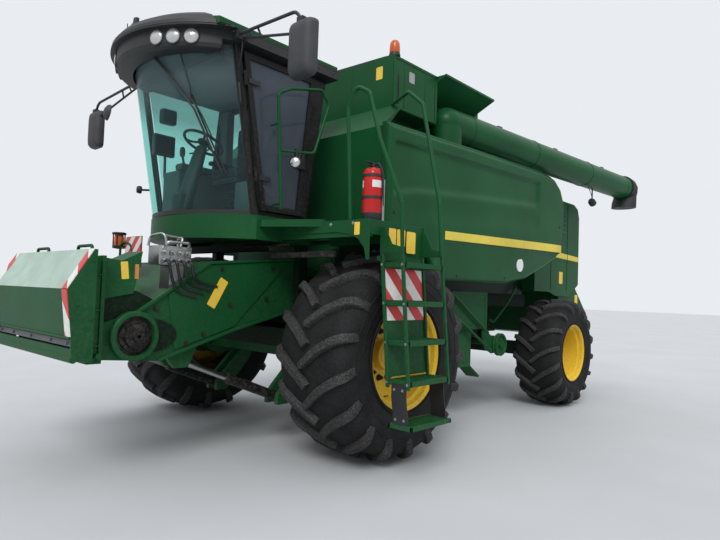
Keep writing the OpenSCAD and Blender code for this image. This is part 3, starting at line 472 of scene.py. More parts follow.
def rim(name, centre, out, r, half, face, hub_r, nuts, pcd, body):
    """face is how far the disc stands out from the wheel's middle, pcd the diameter of the nuts' circle."""
    rim_side = [(0, -half), (0, 12 - half), (20, 22 - half), (20, half - 22), (0, half - 12), (0, half), (14, half),
                (30, half - 20), (34, half - 60), (60, half - 75), (66, face + 75), (85, face + 35), (120, face + 24)]
    hub = [(hub_r + 4, 24), (hub_r, 30), (hub_r - 6, 74), (hub_r - 14, 83), (hub_r * 0.76, 86), (hub_r * 0.73, 83),
           (hub_r * 0.72, 74), (hub_r * 0.60, 74), (hub_r * 0.585, 80), (hub_r * 0.30, 82), (0.5, 82), (0.5, 10)]
    back = [(130, face), (100, face - 10), (75, 90 - half), (40, 50 - half), (30, -half)]
    turned([(r - drop, d) for drop, d in rim_side] + [(rad, face + d) for rad, d in hub] +
           [(r - drop, d) for drop, d in back], centre, 128, sign=out)
    done(name, "yellow", body, 30, replaces=(name,))
    for a in (tau * (i + 0.5) / nuts for i in range(nuts)):
        seat = Vector(centre) + vec(0, pcd / 2 * sin(a), pcd / 2 * cos(a))
        for d0, d1, rad, n in ((22, 30, 30, 20), (30, 56, 22, 6), (56, 74, 11, 12)):
            disc(seat + vec(out * (face + d0), 0, 0), seat + vec(out * (face + d1), 0, 0), rad, n)
    done(name + "_nuts", "nut", body, 30)
    valve = (Vector(centre) + vec(out * (face + d), 0, drop - r) for d, drop in ((50, 90), (95, 100)))
    disc(*valve, 6, 10)
    done(name + "_valve", "hose", body, 30)


# name, x, y, the tyre's radius and width, the rim's radius, lugs, their depth and width, half the rim's width,
# how far its disc stands out, the hub's radius, nuts, the diameter of their circle
WHEELS = (("front", 1415, 0, 910, 790, 460, 17, 50, 78, 354, 60, 139, 12, 420),
          ("rear", 1385, 3860, 725, 590, 382.5, 16, 42, 62, 268, -20, 99, 10, 335))
for side, sx in SIDES:
    for end, x, y, r, w, rim_r, lugs, depth, lug_w, half, face, hub_r, nuts, pcd in WHEELS:
        body, centre = f"{end}_wheel_{side[0]}", (sx * x, y, r)
        tyre(f"{end}_tyre_{side}", centre, sx, r, w, rim_r - 18, lugs, depth, lug_w, body)
        rim(f"{end}_rim_{side}", centre, sx, rim_r, half, face, hub_r, nuts, pcd, body)

# ---- side shields
# (y, height) along the shield's top edge, bottom edge and ridge
TOP = [(70, 3040), (1620, 3100), (3200, 3150), (3620, 3130), (3800, 3030), (3900, 2880), (3945, 2720), (3955, 2500)]
LOW = [(70, 1960), (300, 1960), (620, 1955), (700, 1880), (800, 1730), (900, 1610), (1100, 1602), (2420, 1620),
       (2900, 1690), (3470, 1885), (3800, 2010), (3910, 2080), (3945, 2220), (3955, 2400)]
RIDGE = [(70, 2330), (490, 2415), (1040, 2470), (1830, 2530), (2770, 2600), (3050, 2620), (3140, 2670), (3170, 2780)]
LEDGE = [(70, 2005), (980, 2012), (3960, 2096)]
SHIELD_X, SHIELD_DEEP, SHIELD_Y0, SHIELD_Y1, ROLL = 1450, 110, 70, 3955, 45


def between(points, y):
    for a, b in zip(points, points[1:]):
        if a[0] <= y <= b[0]:
            return a[1] + (y - a[0]) / (b[0] - a[0]) * (b[1] - a[1])
    return points[0][1] if y < points[0][0] else points[-1][1]


def ease(t):
    t = min(max(t, 0.0), 1.0)
    return t * t * (3 - 2 * t)


def shield_x(y, z):
    """How far the shield's outside stands from the machine's middle."""
    low, top, ridge = between(LOW, y), between(TOP, y), between(RIDGE, y)
    edge = min(y - SHIELD_Y0, SHIELD_Y1 - y, z - low, top - z)
    x = SHIELD_X
    if edge < ROLL:
        x -= ROLL - sqrt(max(ROLL * ROLL - (ROLL - edge) ** 2, 0))
    if top - z < 75:
        x = min(x, SHIELD_X - 62 * ease(1 - (top - z) / 75) ** 1.4)
    sunk = ease((z - ridge) / 75) * ease((top - 165 - z) / 30) * ease((3170 - y) / 70) * ease((y - 130) / 30)
    x -= 30 * sunk
    x -= 12 * ease(1 - abs(z - ridge + 160) / 200) * ease((y - 200) / 300) * ease((3300 - y) / 400)
    x -= 30 * ease((low + 450 - z) / 450) * (1 if y > 850 else 0.4)
    return x - 16 * ease((between(LEDGE, y) - z) / 12) * ease((y - 880) / 100)


def shield(side, sx, body):
    """A pressed panel: rolled edges, a sunk field above the ridge, a ledge under the stripe, a folded rim."""
    cols, rows, points = 150, 64, []
    for i in range(cols + 1):
        y = SHIELD_Y0 + (SHIELD_Y1 - SHIELD_Y0) * (0.5 - 0.5 * cos(pi * i / cols)) ** 0.92
        low, top = between(LOW, y), between(TOP, y)
        zs = [low + (top - low) * (0.5 - 0.5 * cos(pi * j / rows)) ** 0.96 for j in range(rows + 1)]
        points.append([(sx * shield_x(y, z), y, z) for z in zs])

    def folded(p):
        return corner((sx * (SHIELD_X - SHIELD_DEEP), *p[1:]))

    grid = [[corner(p) for p in col] for col in points]
    fold = [{j: folded(col[j]) for j in (0, rows)} for col in points]
    for i in range(cols):
        for j in range(rows):
            bm.faces.new((grid[i][j], grid[i + 1][j], grid[i + 1][j + 1], grid[i][j + 1]))
        for j in (0, rows):
            bm.faces.new((grid[i][j], grid[i + 1][j], fold[i + 1][j], fold[i][j]))
    for i in (0, cols):
        edge = [fold[i][0]] + [folded(p) for p in points[i][1:-1]] + [fold[i][rows]]
        for j in range(rows):
            bm.faces.new((grid[i][j], grid[i][j + 1], edge[j + 1], edge[j]))
    obj = done(f"side_shield_{side}", "green", body, 30, replaces=(f"side_shield_{side}",))
    mod = obj.modifiers.new("sheet", "SOLIDIFY")
    mod.thickness = 6 * MM
    mod.offset = -1
    rings = []
    for y in (985 + 2940 * i / 40 for i in range(41)):
        mid, half = between([(980, 2065), (3930, 2155)], y), between([(980, 44), (3930, 52)], y)
        x = max(shield_x(y, mid + share * half) for share in (-0.9, 0, 0.9))
        rings.append([(sx * (x - 12), y, mid - half), (sx * (x + 4), y, mid - half),
                      (sx * (x + 4), y, mid + half), (sx * (x - 12), y, mid + half)])
    loft(rings)
    done(f"yellow_stripe_{side}", "stripe", body, 30)
    x, y, z = shield_x(2700, 1860), 2700, 1860
    disc((sx * (x - 12), y, z), (sx * (x + 7), y, z), 85, 40)
    done(f"round_label_{side}", "white", body, 30)
    for y, z in ((160, 2200), (160, 2720), (3800, 2450), (1300, 1660), (2350, 1680)):
        x = shield_x(y, z)
        disc((sx * (x - 10), y, z), (sx * (x + 4), y, z), 20, 20, 17)
        disc((sx * (x + 4), y, z), (sx * (x + 7), y, z), 9, 12)
    done(f"shield_latches_{side}", "plastic", body, 30)


for side, sx in SIDES:
    shield(side, sx, f"shield_{side}")


# ---- transport guard and feeder house
def sheet(x0, x1, a, b, thick):
    """A sheet between two x, from a to b given as (y, z), raised on its front side."""
    d = vec(0, b[0] - a[0], b[1] - a[1]).normalized()
    n = vec(0, d.z, -d.y)
    n = n if n.y < 0 else -n
    loft([[vec(x0, *p), vec(x1, *p), vec(x1, *p) + n * thick, vec(x0, *p) + n * thick] for p in (a, b)])


GUARD = 800
# the sloping top sheet's pale colour is a painted highlight
sheet(2 - GUARD, GUARD - 2, (-2262, 1681), (-2428, 1402), 3)
done("guard_top_sheet", "skirt", "feeder", 30)
for x0, x1 in ((-GUARD, 85 - GUARD), (GUARD - 85, GUARD)):
    sheet(x0, x1, (-2262, 1681), (-2430, 1402), 6)
    sheet(x0, x1, (-2430, 1400), (-2392, 1085), 6)
done("guard_stripes", "band", "feeder", 30)
box((30 - GUARD, -2372, 1012), (GUARD - 30, -2352, 1058))
for x in (100 - GUARD, -400, 0, 400, GUARD - 100):
    disc((x, -2385, 1035), (x, -2350, 1035), 11, 8)
done("guard_grey_bar", "plastic_grey", "feeder", 30, 2)
for x in (-GUARD - 1, GUARD - 11):
    prism([(-2240, 1675), (-2262, 1675), (-2425, 1400), (-2386, 1080), (-2376, 935), (-2240, 905)], 0, x, x + 12)
    for y, z in ((-2270, 1600), (-2270, 1200), (-2270, 980), (-2360, 1300)):
        disc((x - 6, y, z), (x + 18, y, z), 12, 6)
done("guard_end_plates", "green_low", "feeder", 30, 2)
box((20 - GUARD, -2395, 1066), (GUARD - 20, -2378, 1084))
box((20 - GUARD, -2383, 985), (GUARD - 20, -2366, 1002))
tube([(-GUARD - 4, -2370, 930), (GUARD + 4, -2370, 930)], 24, 20)
done("guard_slot_rims", "green_low", "feeder", 30)

DRUM_X, DRUM_Y, DRUM_Z = 640, -1890, 1065
for sx in (1, -1):
    turned([(185, 1), (185, 52), (176, 60), (150, 60), (146, 52), (146, 18), (50, 14), (50, 1)],
           (sx * DRUM_X, DRUM_Y, DRUM_Z), 64, sign=sx)
done("feeder_drum_covers", "green_low", "feeder", 30, replaces=("feeder_drive",))
for sx in (1, -1):
    turned([(144, 12), (144, 20), (120, 24), (118, 36), (90, 40), (88, 75), (70, 84), (45, 86), (43, 108), (14, 110),
            (14, 12)], (sx * DRUM_X, DRUM_Y, DRUM_Z), 64, sign=sx)
    for a in turns(8):
        p = vec(sx * (DRUM_X + 36), DRUM_Y + 104 * cos(a), DRUM_Z + 104 * sin(a))
        disc(p, p + vec(sx * 12, 0, 0), 9, 6)
done("feeder_drum_hubs", "black", "feeder", 30)
for sx in (1, -1):
    x = sx * 640.5
    prism([(-1270, 1632), (-400, 1710), (-1000, 1115), (-1550, 945), (-1620, 1380)], 0, x - sx * 3, x + sx * 10)
    for line in (((-1905, 1215), (-1252, 1650), (-330, 1738)), ((-470, 1225), (-1020, 1082), (-1680, 872))):
        for a, b in zip(line, line[1:]):
            d = vec(0, b[0] - a[0], b[1] - a[1]).normalized()
            n = vec(0, -d.z, d.y) * 12
            loft([[vec(x + out, *p) + n * s for out, s in ((0, -1), (sx * 22, -1), (sx * 22, 1), (0, 1))]
                  for p in (a, b)])
done("feeder_side_panels", "green", "feeder", 30, 3)
bolts("feeder_bolts", "nut", [((sx * 652, y, z), (sx, 0, 0)) for sx in (1, -1) for y, z in (
    (-1720, 1270), (-1140, 1600), (-660, 1360), (-1300, 1060), (-1050, 1300), (-600, 1630), (-1450, 990))],
      13, 10, "feeder")
labels("feeder_labels", "sticker",
       [((652.2, -1175, 1400), (0, 0.55, 1), (0, -1, 0.45), 260, 85),
        ((-652.2, -1175, 1400), (0, -0.55, -1), (0, -1, 0.45), 260, 85),
        ((622.2, -1965, 1550), (0, 1, 0.12), UP, 55, 130)], "feeder")
labels("feeder_box_label", "tan", [((622.2, -1872, 1545), (0, 1, 0), UP, 30, 110)], "feeder")
for sx in (1, -1):
    for y0, y1, x in ((-2243, -2215, 660), (-2170, -2142, 640)):
        box((sx * x, y0, 900), (sx * 715, y1, 1645))
    tube([(sx * x, -2180, z) for x, z in ((300, 1660), (300, 1720), (550, 1720), (550, 1660))], 12)
    for z in (1000, 1250, 1500):
        box((sx * 655, -2220, z), (sx * 712, -2160, z + 12))
done("feeder_front_flanges", "green_low", "feeder", 30, 3)
# upright sheets behind the feeder's sides and an oval round each drum cover, in the shaded green: painted shade in
# the gaps there
for sx in (1, -1):
    prism([(-2205, 960), (-2205, 1360), (-1860, 1400), (-1720, 1335), (-1930, 1200), (-2050, 1060)], 0,
          sx * 606 - 4, sx * 606 + 4)
    prism([(-1800 + 265 * cos(t), 1062 + 132 * sin(t)) for t in turns(48)], 0, sx * 640, sx * 654.5)
done("feeder_cheeks", "green_painted_shade", "feeder", 30)

# multi-coupler with its handle frame and hoses
tube([(460, -1710, 1760), (470, -1700, 1840), (620, -1660, 1860), (625, -1640, 1760)], 11)
tube([(460, -1450, 1760), (470, -1460, 1830), (620, -1500, 1840), (625, -1520, 1760)], 11)
tube([(545, -1685, 1857), (545, -1480, 1838)], 10)
for y in range(-1660, -1400, 65):
    for z in (1645, 1707):
        disc((622, y, z), (652, y, z), 24, 20)
        disc((652, y, z), (668, y, z), 18, 20, 13)
rounded_box((448, -1702, 1608), (622, -1418, 1762), 12)
done("coupler_block", "steel", "feeder")
for i in range(4):
    y = -1660 + i * 65
    tube([(665, y, 1645), (710, y, 1630), (700, y + 30, 1520), (655, y + 100, 1400 + 30 * i),
          (655, y + 280, 1360 + 30 * i)], 12, 10, 5)
done("coupler_hoses", "hose", "feeder", 40)

# marker board with its caged lamp
MARK = vec(-300, -1540, 0)
tube([(-100, 0, 1440), (-100, 0, 1800), (-20, 0, 1830), (130, 0, 1800), (130, 0, 1440)], 11, at=MARK)
box((-5, 6, 1600), (295, 12, 1875), MARK)
tube([(-170, 0, 1780), (-20, 0, 1780)], 10, at=MARK)
done("marker_bracket", "green_low", "feeder")
box((0, -2, 1605), (290, 6, 1870), MARK)
done("marker_board", "board", "feeder")
LAMP_AT = MARK + vec(-135, 0, 0)
turned([(0.5, 1775), (52, 1775), (56, 1785), (56, 1800), (0.5, 1800)], LAMP_AT, 32, 2)
turned([(0.5, 1905), (58, 1902), (64, 1912), (58, 1922), (0.5, 1926)], LAMP_AT, 32, 2)
for a in turns(4):
    x, y = 53 * cos(a + pi / 4), 53 * sin(a + pi / 4)
    tube([(x, y, 1790), (x, y, 1910)], 6, 8, at=LAMP_AT)
done("marker_lamp_cage", "plastic", "feeder")
turned([(0.5, 1799), (42, 1799), (44, 1810), (42, 1880), (34, 1904), (0.5, 1908)], LAMP_AT, 32, 2)
done("marker_lamp", "amber", "feeder")

# ---- ladder with boards, treads and rubber straps
X0, X1, Y0, Y1 = 1875, 2075, -500, 25


def lean(z):
    """How far out the ladder stands at a height."""
    return 100 * (1760 - z) / 1060


for x in (X0, X1):
    for y in (Y0, Y1):
        loft([[p + vec(dx, dy, 0) for dx, dy in ((-12, -12), (12, -12), (12, 12), (-12, 12))]
              for p in (vec(x + lean(730), y, 730), vec(x, y, 1760))])
# each step: height, half height of its frame, insets of the frame, then first, pitch, number and height of the slats,
# inset and height of the long bars
STEPS = [(z, 20, 12, -30, -12, 40, 28, 17, 4, 19, 20, 2, 16) for z in (770, 1070, 1370, 1670)]
STEPS.append((445, 17, 2, -22, 0, 28, 27.5, 18, -7, 15, 10, -7, 12))
for z, rise, near, far, end, first, pitch, slats, low, high, inset, bar_low, bar_high in STEPS:
    x0, x1 = X0 + lean(z), X1 + lean(z)
    for y in (Y0 + near, Y1 + far):
        box((x0 - 12, y, z - rise), (x1 + 12, y + 18, z + rise))
    for x in (x0 - 12, x1 - 6):
        box((x, Y0 + near, z - rise), (x + 18, Y1 + end, z + rise))
    for y in (Y0 + first + k * pitch for k in range(slats)):
        box((x0, y, z + low), (x1, y + 6, z + high))
    for x in (x0 + 35 + k * 44 for k in range(4)):
        box((x, Y0 + inset, z + bar_low), (x + 5, Y1 - inset, z + bar_high))
loft([[(x, Y0 + 11, z), (x + 6, Y0 + 11, z), (x + 6, 14, z), (x, 14, z)]
      for x, z in ((X0 + lean(800) - 14, 800), (X0 - 14, 1760), (X0 - 14, 1965))])
box((X0 - 45, Y0 - 12, 1700), (X0 + 5, 37, 1740))
box((X0 - 45, Y0 + 50, 1700), (X0 - 25.5, -61, 1979))
for y in (Y0 - 8, Y1):
    prism([(X0 - 20, 1760), (X1 + 12, 1760), (X1 + 12, 1800), (X0 + 100, 1830), (X0 + 30, 1965), (X0 - 20, 1965)],
          1, y, y + 8)
done("ladder_frame", "green_low", sharp=30, bevel=2, replaces=("ladder",))
for levels in ((1395, 1645), (1235, 1345)):
    loft([[(x, Y0 + 16, z), (x + 5, Y0 + 16, z), (x + 5, 8, z), (x, 8, z)]
          for x, z in ((X0 + lean(z) - 8, z) for z in levels)])
done("ladder_boards", "step_board")
for y in (Y0 + 6, Y1 - 24):
    rings = []
    for i in range(7):
        z = 448 + 317 * i / 6
        out = lean(z) + 4 * sin(i * 1.3)
        x0, x1 = X0 + out + 30, X1 + out - 30
        rings.append([(x0, y, z), (x1, y, z), (x1, y + 10, z), (x0, y + 10, z)])
    loft(rings)
done("ladder_straps", "hose")
bolts("ladder_bolts", "steel",
      [((x + lean(z), Y0 - 12, z), (0, -1, 0)) for z in (770, 1070, 1370, 1670) for x in (X0, X1)] +
      [((x + lean(z), Y0 + 4, z), (0, -1, 0)) for z in (500, 720) for x in (X0 + 60, X1 - 60)], 7, 5)

# ---- platform: tread plate, skirt, toe board, labels
for i in range(24):
    for j in range(16):
        x, y, s = 900 + i * 40, -600 + j * 40, 1 if (i + j) % 2 else -1
        prism([(x - 11, y - s * 6.05), (x, y - s * 9.9 - 2), (x + 11, y + s * 6.05), (x, y + s * 9.9 + 2)],
              2, 2018.5, 2022.5)
done("platform_tread", "green_low", sharp=30)
for y in (-660, 42):
    prism([(860, 1985), (860, 1925), (1520, 1925), (1660, 1905), (1760, 1860), (1820, 1790), (1845, 1700),
           (1875, 1700), (1875, 2015), (860, 2015)], 1, y, y + 8)
box((1851, -655, 1900), (1858, 45, 2018))
done("platform_skirts", "green_low", sharp=30, bevel=2)
labels("access_labels", "sticker",
       [((1886.2, -396, 1895), (0, 1, 0), UP, 90, 140), ((1886.2, -286, 1895), (0, 1, 0), UP, 105, 140),
        ((1886.2, -153, 1870), (0, 1, 0), UP, 120, 180), ((1745, -661.8, 1945), (1, 0, 0), UP, 55, 100)])
bolts("platform_bolts", "steel", [((x, -660, 1990), (0, -1, 0)) for x in (950, 1200, 1450, 1700)] +
      [((x, -907, 1990), (0, -1, 0)) for x in (300, 450)], 9, 6)

# ---- fire extinguisher and beacon
FOOT = vec(1750, -500, 2020.3)
turned([(0.5, 55), (78, 55), (80, 62), (80, 375), (74, 400), (58, 418), (30, 428), (0.5, 430)], FOOT, 48, 2)
done("extinguisher_shell", "red", sharp=30, replaces=("fire_extinguisher",))
turned([(0.5, 0), (76, 0), (81, 8), (81, 60), (0.5, 60)], FOOT, 48, 2)
for z in (170, 345):
    turned([(79.5, z), (83.5, z + 1), (83.5, z + 24), (79.5, z + 25)], FOOT, 48, 2)
disc(FOOT + UP * 425, FOOT + UP * 465, 22, 24)
box((-12, -85, 462), (12, 30, 470), FOOT)
box((-12, -78, 440), (12, 10, 446), FOOT)
tube([(15, 0, 450), (60, 0, 460), (88, 20, 380), (86, 30, 120)], 9, at=FOOT)
done("extinguisher_fittings", "plastic")
for turn in (-0.9, 1.2):
    loft([[FOOT + vec(r * cos(a), r * sin(a), z) for r, z in ((80.5, 262), (81.2, 262), (81.2, 318), (80.5, 318))]
          for a in (turn - pi / 2 + (i - 4) * 0.13 for i in range(9))])
done("extinguisher_label", "label")
box((82, 20, -60), (92, 45, 330), FOOT)
box((-30, 80, 0), (30, 88, 360), FOOT)
done("extinguisher_bracket", "steel", bevel=1)

POST = vec(1160, 430, 3820.3)
turned([(0.5, 0), (58, 0), (58, 18), (53, 30), (53, 36), (0.5, 36)], POST, 40, 2)
tube([(1160, 450, 3815), (1185, 460, 3790), (1206, 460, 3600), (1206, 460, 3320)], 6, 8)
done("beacon_base", "plastic", replaces=("beacon",))
turned([(0.5, 34), (51, 34), (53, 50), (52, 95), (47, 135), (34, 158), (14, 169), (0.5, 170)], POST, 40, 2)
done("beacon_lens", "amber", sharp=40)


# ---- cab: lamps, glass seal, wipers, roof fittings
LAMP_SEATS = []
for a in (radians(deg) for deg in (-42, -32.5, -23, 23, 32.5, 42)):
    out = vec(sin(a), -cos(a), 0)
    LAMP_SEATS.append((vec(0, -820, 3482) + out * 940, out))
for seat, out in LAMP_SEATS:
    turned([(0.5, -90), (65, -90), (65, -10), (59.4, 2), (47.52, 9), (26.4, 14), (0.5, 16)], seat, 48, out)
done("work_lamp_lenses", "lamp", sharp=40, replaces=("roof_lamps",))
for seat, out in LAMP_SEATS:
    turned([(60, -20), (72, -20), (72, 3), (66, 7), (60, 1)], seat, 48, out)
done("work_lamp_bezels", "plastic", sharp=40)

SCREEN_R, SCREEN_Y, SCREEN_Z = 921.4, -408.6, 2080


def on_screen(turn, z, grow):
    """A place on the windscreen's outside, at an angle round its arc and a height."""
    r = SCREEN_R + grow
    return vec(r * sin(turn), SCREEN_Y - 260 / 1400 * (z - SCREEN_Z) - r * cos(turn), z)


for z0, z1, back, front in ((2080.5, 2104, -10, 6), (2104, 2118, -8.5, 3)):
    loft([[on_screen(t, z0, back), on_screen(t, z0, front), on_screen(t, z1, front * 0.6), on_screen(t, z1, back)]
          for t in (radians(-55.2 + 110.4 * i / 40) for i in range(41))])
for s in (1, -1):
    t = radians(55) * s
    wide = vec(cos(t), sin(t), 0) * 12 * s
    loft([[p - wide, p + wide, q + wide, q - wide]
          for p, q in ((on_screen(t, z, 4), on_screen(t, z, -10)) for z in (2085 + 1300 * i / 8 for i in range(9)))])
done("windscreen_seal", "hose")


def wiper_place(share):
    return asin((646 - 182 * share) / SCREEN_R), 2400 + 660 * share


rings = []
for t, z in (wiper_place(i / 14) for i in range(15)):
    p, n, wide = on_screen(t, z, 10), vec(sin(t), -cos(t), 0), vec(cos(t), sin(t), 0) * 7
    rings.append([p - wide - n * 9, p + wide - n * 9, p + wide * 0.8 + n * 10, p - wide * 0.8 + n * 10])
loft(rings)
for t, z in (wiper_place(share) for share in (0.2, 0.5, 0.8)):
    tube([on_screen(t, z, 12), on_screen(t + 0.004, z, 32)], 6, 8)
tube([(160, -1600, 3430), (360, -1500, 3190), (535, -1365, 2950), (600, -1270, 2720)], 6, 8, 5)
done("wiper_blades", "hose")

box((-600, -1520, 3705), (-430, -1440, 3745))
box((-530, -1490, 3740), (-500, -1470, 3900))
prism([(-620, 3860), (-410, 3890), (-410, 3965), (-470, 3975), (-480, 3930), (-620, 3900)], 1, -1495, -1465)
tube([(-620, -1480, 3740), (-625, -1480, 3970)], 5, 8)
done("roof_antenna", "plastic", bevel=4)
for sx in (1, -1):
    box((sx * 895, -1410, 3557), (sx * 902, -100, 3566))
    for y in range(-1300, -100, 190):
        disc((sx * 900, y, 3520), (sx * 904.5, y, 3520), 8, 6)
box((-300, -95, 3490), (300, -86, 3550))
done("roof_side_trim", "plastic")
ROOF = [(0, 3710), (560, 3710), (780, 3630), (860, 3610)]
for y in (-1150, -720, -300):
    drop = 10 * (y + 1250) / 900 + (32 if y > -400 else 0)
    loft([[(x, y + dy, between(ROOF, abs(x)) - drop + dz) for dy, dz in ((-16, -20), (-10, 6), (10, 6), (16, -20))]
          for x in (-860 + 1720 * i / 24 for i in range(25))])
done("roof_ribs", "green")


# ---- mirrors on double arms
def flip(sx, points):
    return [(sx * x, y, z) for x, y, z in points]


HIGH_ARM = [(902, -1240, 3520), (1660, -1290, 3450), (1725, -1290, 3360)]
LOW_ARM = [(904, -1200, 3500), (1690, -1290, 3280)]
WIDE_AT, WIDE_AXIS = (-1420, -1285, 3300), (0.15, 0.98, -0.12)
for sx in (1, -1):
    tube(flip(sx, HIGH_ARM), 13, 14, 6)
    tube(flip(sx, LOW_ARM), 11, 14)
    for share in (0.16, 0.34):
        tube(flip(sx, [Vector(HIGH_ARM[0]).lerp(Vector(HIGH_ARM[1]), share),
                       Vector(LOW_ARM[0]).lerp(Vector(LOW_ARM[1]), share + 0.01)]), 9, 10)
    box((sx * 898, -1275, 3475), (sx * 916, -1165, 3548))
    for y in (-1262, -1178):
        for z in (3490, 3535):
            disc((sx * 914, y, z), (sx * 922, y, z), 9, 6)
    box((sx * 1695, -1315, 3345), (sx * 1755, -1265, 3385))
tube([(-1450, -1270, 3385), (-1440, -1275, 3340), WIDE_AT], 9, 10)
done("mirror_arms", "plastic", sharp=40, replaces=("mirrors",))
for sx in (1, -1):
    rings = []
    for y, inset in ((-1236, 4), (-1238, 0), (-1262, 0), (-1295, 6), (-1322, 24), (-1337, 55), (-1340, 95)):
        w, h = 123 - inset, 206.5 - inset
        r = min(45, 0.72 * w)
        rings.append([(sx * x, y, z) for x, z in arc_corners(1725, 3163.5, w - r, h - r, r, 6, 18)])
    loft(rings)
turned([(0.5, -45), (40, -40), (78, -18), (88, 4), (88, 10), (0.5, 10)], WIDE_AT, 40, WIDE_AXIS)
done("mirror_housings", "plastic_soft", sharp=45)
for sx in (1, -1):
    for z0, z1 in ((3085, 3350), (2975, 3070)):
        box((sx * 1622, -1239, z0), (sx * 1828, -1233.5, z1))
turned([(0.5, 8.5), (82, 8.5), (78, 12), (40, 16), (0.5, 18)], WIDE_AT, 40, WIDE_AXIS)
done("mirror_faces", "mirror", sharp=40, bevel=1)


# ---- cab inside
def bowed(back, middle, rx, ry):
    """A sheet's outline with a straight back edge and a front edge bowed like the windscreen."""
    return [(750, back), (-750, back)] + [(rx * sin(t), middle - ry * cos(t))
                                          for t in (radians(-55 + 110 * i / 24) for i in range(25))]


prism(bowed(-300, -658.6, 905, 895), 2, 3425, 3452)
box((-700, -1280, 3390), (700, -1180, 3430))
box((-740, -330, 2600), (-580, -240, 3400))
box((580, -330, 2600), (740, -240, 3400))
done("cab_headliner", "plastic_grey", bevel=4)
prism(bowed(-400, SCREEN_Y, 890, 885), 2, 2080.3, 2094)
for x in range(-600, 600, 90):
    box((x, -1100, 2093), (x + 20, -460, 2098))
done("cab_mat", "hose")
for lo, hi, r in (((-660, -1020, 2100), (-360, -440, 2600), 30), ((-470, -1000, 2600), (-340, -500, 2670), 25),
                  ((-740, -1120, 2780), (-680, -880, 3000), 20), ((-690, -1080, 3100), (-600, -920, 3250), 20),
                  ((360, -860, 2100), (620, -440, 2420), 30)):
    rounded_box(lo, hi, r)
tube([(-410, -930, 2660), (-410, -950, 2740)], 12)
turned([(0.5, -50), (22, -45), (28, -10), (26, 30), (14, 50), (0.5, 52)], (-410, -955, 2790), 24, 2)
tube([(-700, -980, 2560), (-710, -980, 2800)], 14)
done("cab_console", "plastic_grey", sharp=40)
box((-745, -1105, 2800), (-739, -895, 2980))
box((-678, -1105, 2800), (-674, -895, 2980))
for x, y in ((-445 + k % 3 * 34, -860 + k // 3 * 45) for k in range(10)):
    box((x, y, 2668), (x + 22, y + 28, 2674))
done("cab_screens", "hose")

WHEEL_AT, WHEEL_AXIS = vec(0, -975, 2815), vec(0, 0.42, 0.91)


def spoke(t):
    return vec(cos(t), WHEEL_AXIS.z * sin(t), -WHEEL_AXIS.y * sin(t))


rounded_box((-75, -1235, 2100), (75, -1085, 2300), 20)
rings = []
for share, wide, deep in ((0.0, 75, 75), (0.25, 85, 70), (0.6, 80, 60), (0.88, 72, 50), (0.97, 55, 40)):
    p = vec(0, -1170, 2140).lerp(vec(0, -985, 2800), share)
    rings.append([p + vec(wide * cos(t) * (1.12 if abs(cos(t)) > 0.5 else 1), deep * sin(t), 0) for t in turns(20)])
loft(rings)
for s in (1, -1):
    tube([(s * 60, -990, 2720), (s * 160, -1000, 2735), (s * 190, -1000, 2735)], 8, 8)
turned([(0.5, -20), (45, -18), (60, 6), (52, 20), (0.5, 24)], WHEEL_AT, 32, WHEEL_AXIS)
for u in (spoke(pi / 2 + t) for t in turns(3)):
    tube([u * 40, u * 120 - vec(0, 4, 8), u * 185], 11, 10, at=WHEEL_AT)
loft([[WHEEL_AT + u * (189 + 13.5 * cos(a)) + WHEEL_AXIS * 13.5 * sin(a) for a in turns(12)]
      for u in (spoke(t) for t in turns(64))], True)
done("steering_column", "plastic", sharp=40, replaces=("steering_wheel",))


def pad(name, lo, hi, replaces=()):
    """A seat pad: a rounded block swollen by cloth pressure, no further than a cap, then smoothed."""
    swell = 0.022
    rounded_box(lo, hi, 35, 5)
    obj = done(name, "cloth", sharp=180, replaces=replaces)
    bpy.context.view_layer.update()
    mod = obj.modifiers.new("even", "REMESH")
    mod.mode = "VOXEL"
    mod.voxel_size = 0.006
    mesh = bpy.data.meshes.new_from_object(obj.evaluated_get(bpy.context.evaluated_depsgraph_get()))
    obj.modifiers.clear()
    obj.data = mesh
    rest = [v.co.copy() for v in mesh.vertices]
    cloth = obj.modifiers.new("cloth", "CLOTH")
    cloth.settings.quality = 4
    cloth.settings.use_pressure = True
    cloth.settings.uniform_pressure_force = 4
    cloth.settings.effector_weights.gravity = 0
    cloth.point_cache.frame_start, cloth.point_cache.frame_end = 1, 20
    for i in range(1, 21):
        scene.frame_set(i)
    swollen = bpy.data.meshes.new_from_object(obj.evaluated_get(bpy.context.evaluated_depsgraph_get()))
    obj.modifiers.clear()
    for v, p in zip(swollen.vertices, rest):
        d = v.co - p
        v.co = p + d * min(1.0, swell / max(d.length, 1e-6))
    obj.data = swollen
    scene.frame_set(1)
    swollen.shade_smooth()
    if not swollen.materials:
        swollen.materials.append(M["cloth"])
    mod = obj.modifiers.new("smooth", "SUBSURF")
    mod.levels = mod.render_levels = 1


pad("seat_cushion", (-225, -765, 2515), (225, -395, 2595), ("driver_seat",))
pad("seat_back", (-210, -455, 2620), (210, -385, 3105))
for z in (2200 + k * 42 for k in range(6)):
    turned([(100, z), (145, z + 10), (145, z + 16), (100, z + 26), (90, z + 13)], (0, -540, 0), 32, 2)
rounded_box((-170, -700, 2095), (170, -400, 2200), 20)
rounded_box((-200, -740, 2455), (200, -400, 2515), 20)
for s in (-1, 1):
    tube([(s * 120, -395, 2500), (s * 120, -372, 2620), (s * 120, -372, 3000)], 12)
    rounded_box((s * 262, -720, 2685), (s * 315, -420, 2730), 18)
    tube([(s * 205, -410, 2630), (s * 288, -430, 2650), (s * 288, -450, 2700)], 14)
done("seat_base", "plastic", sharp=40)

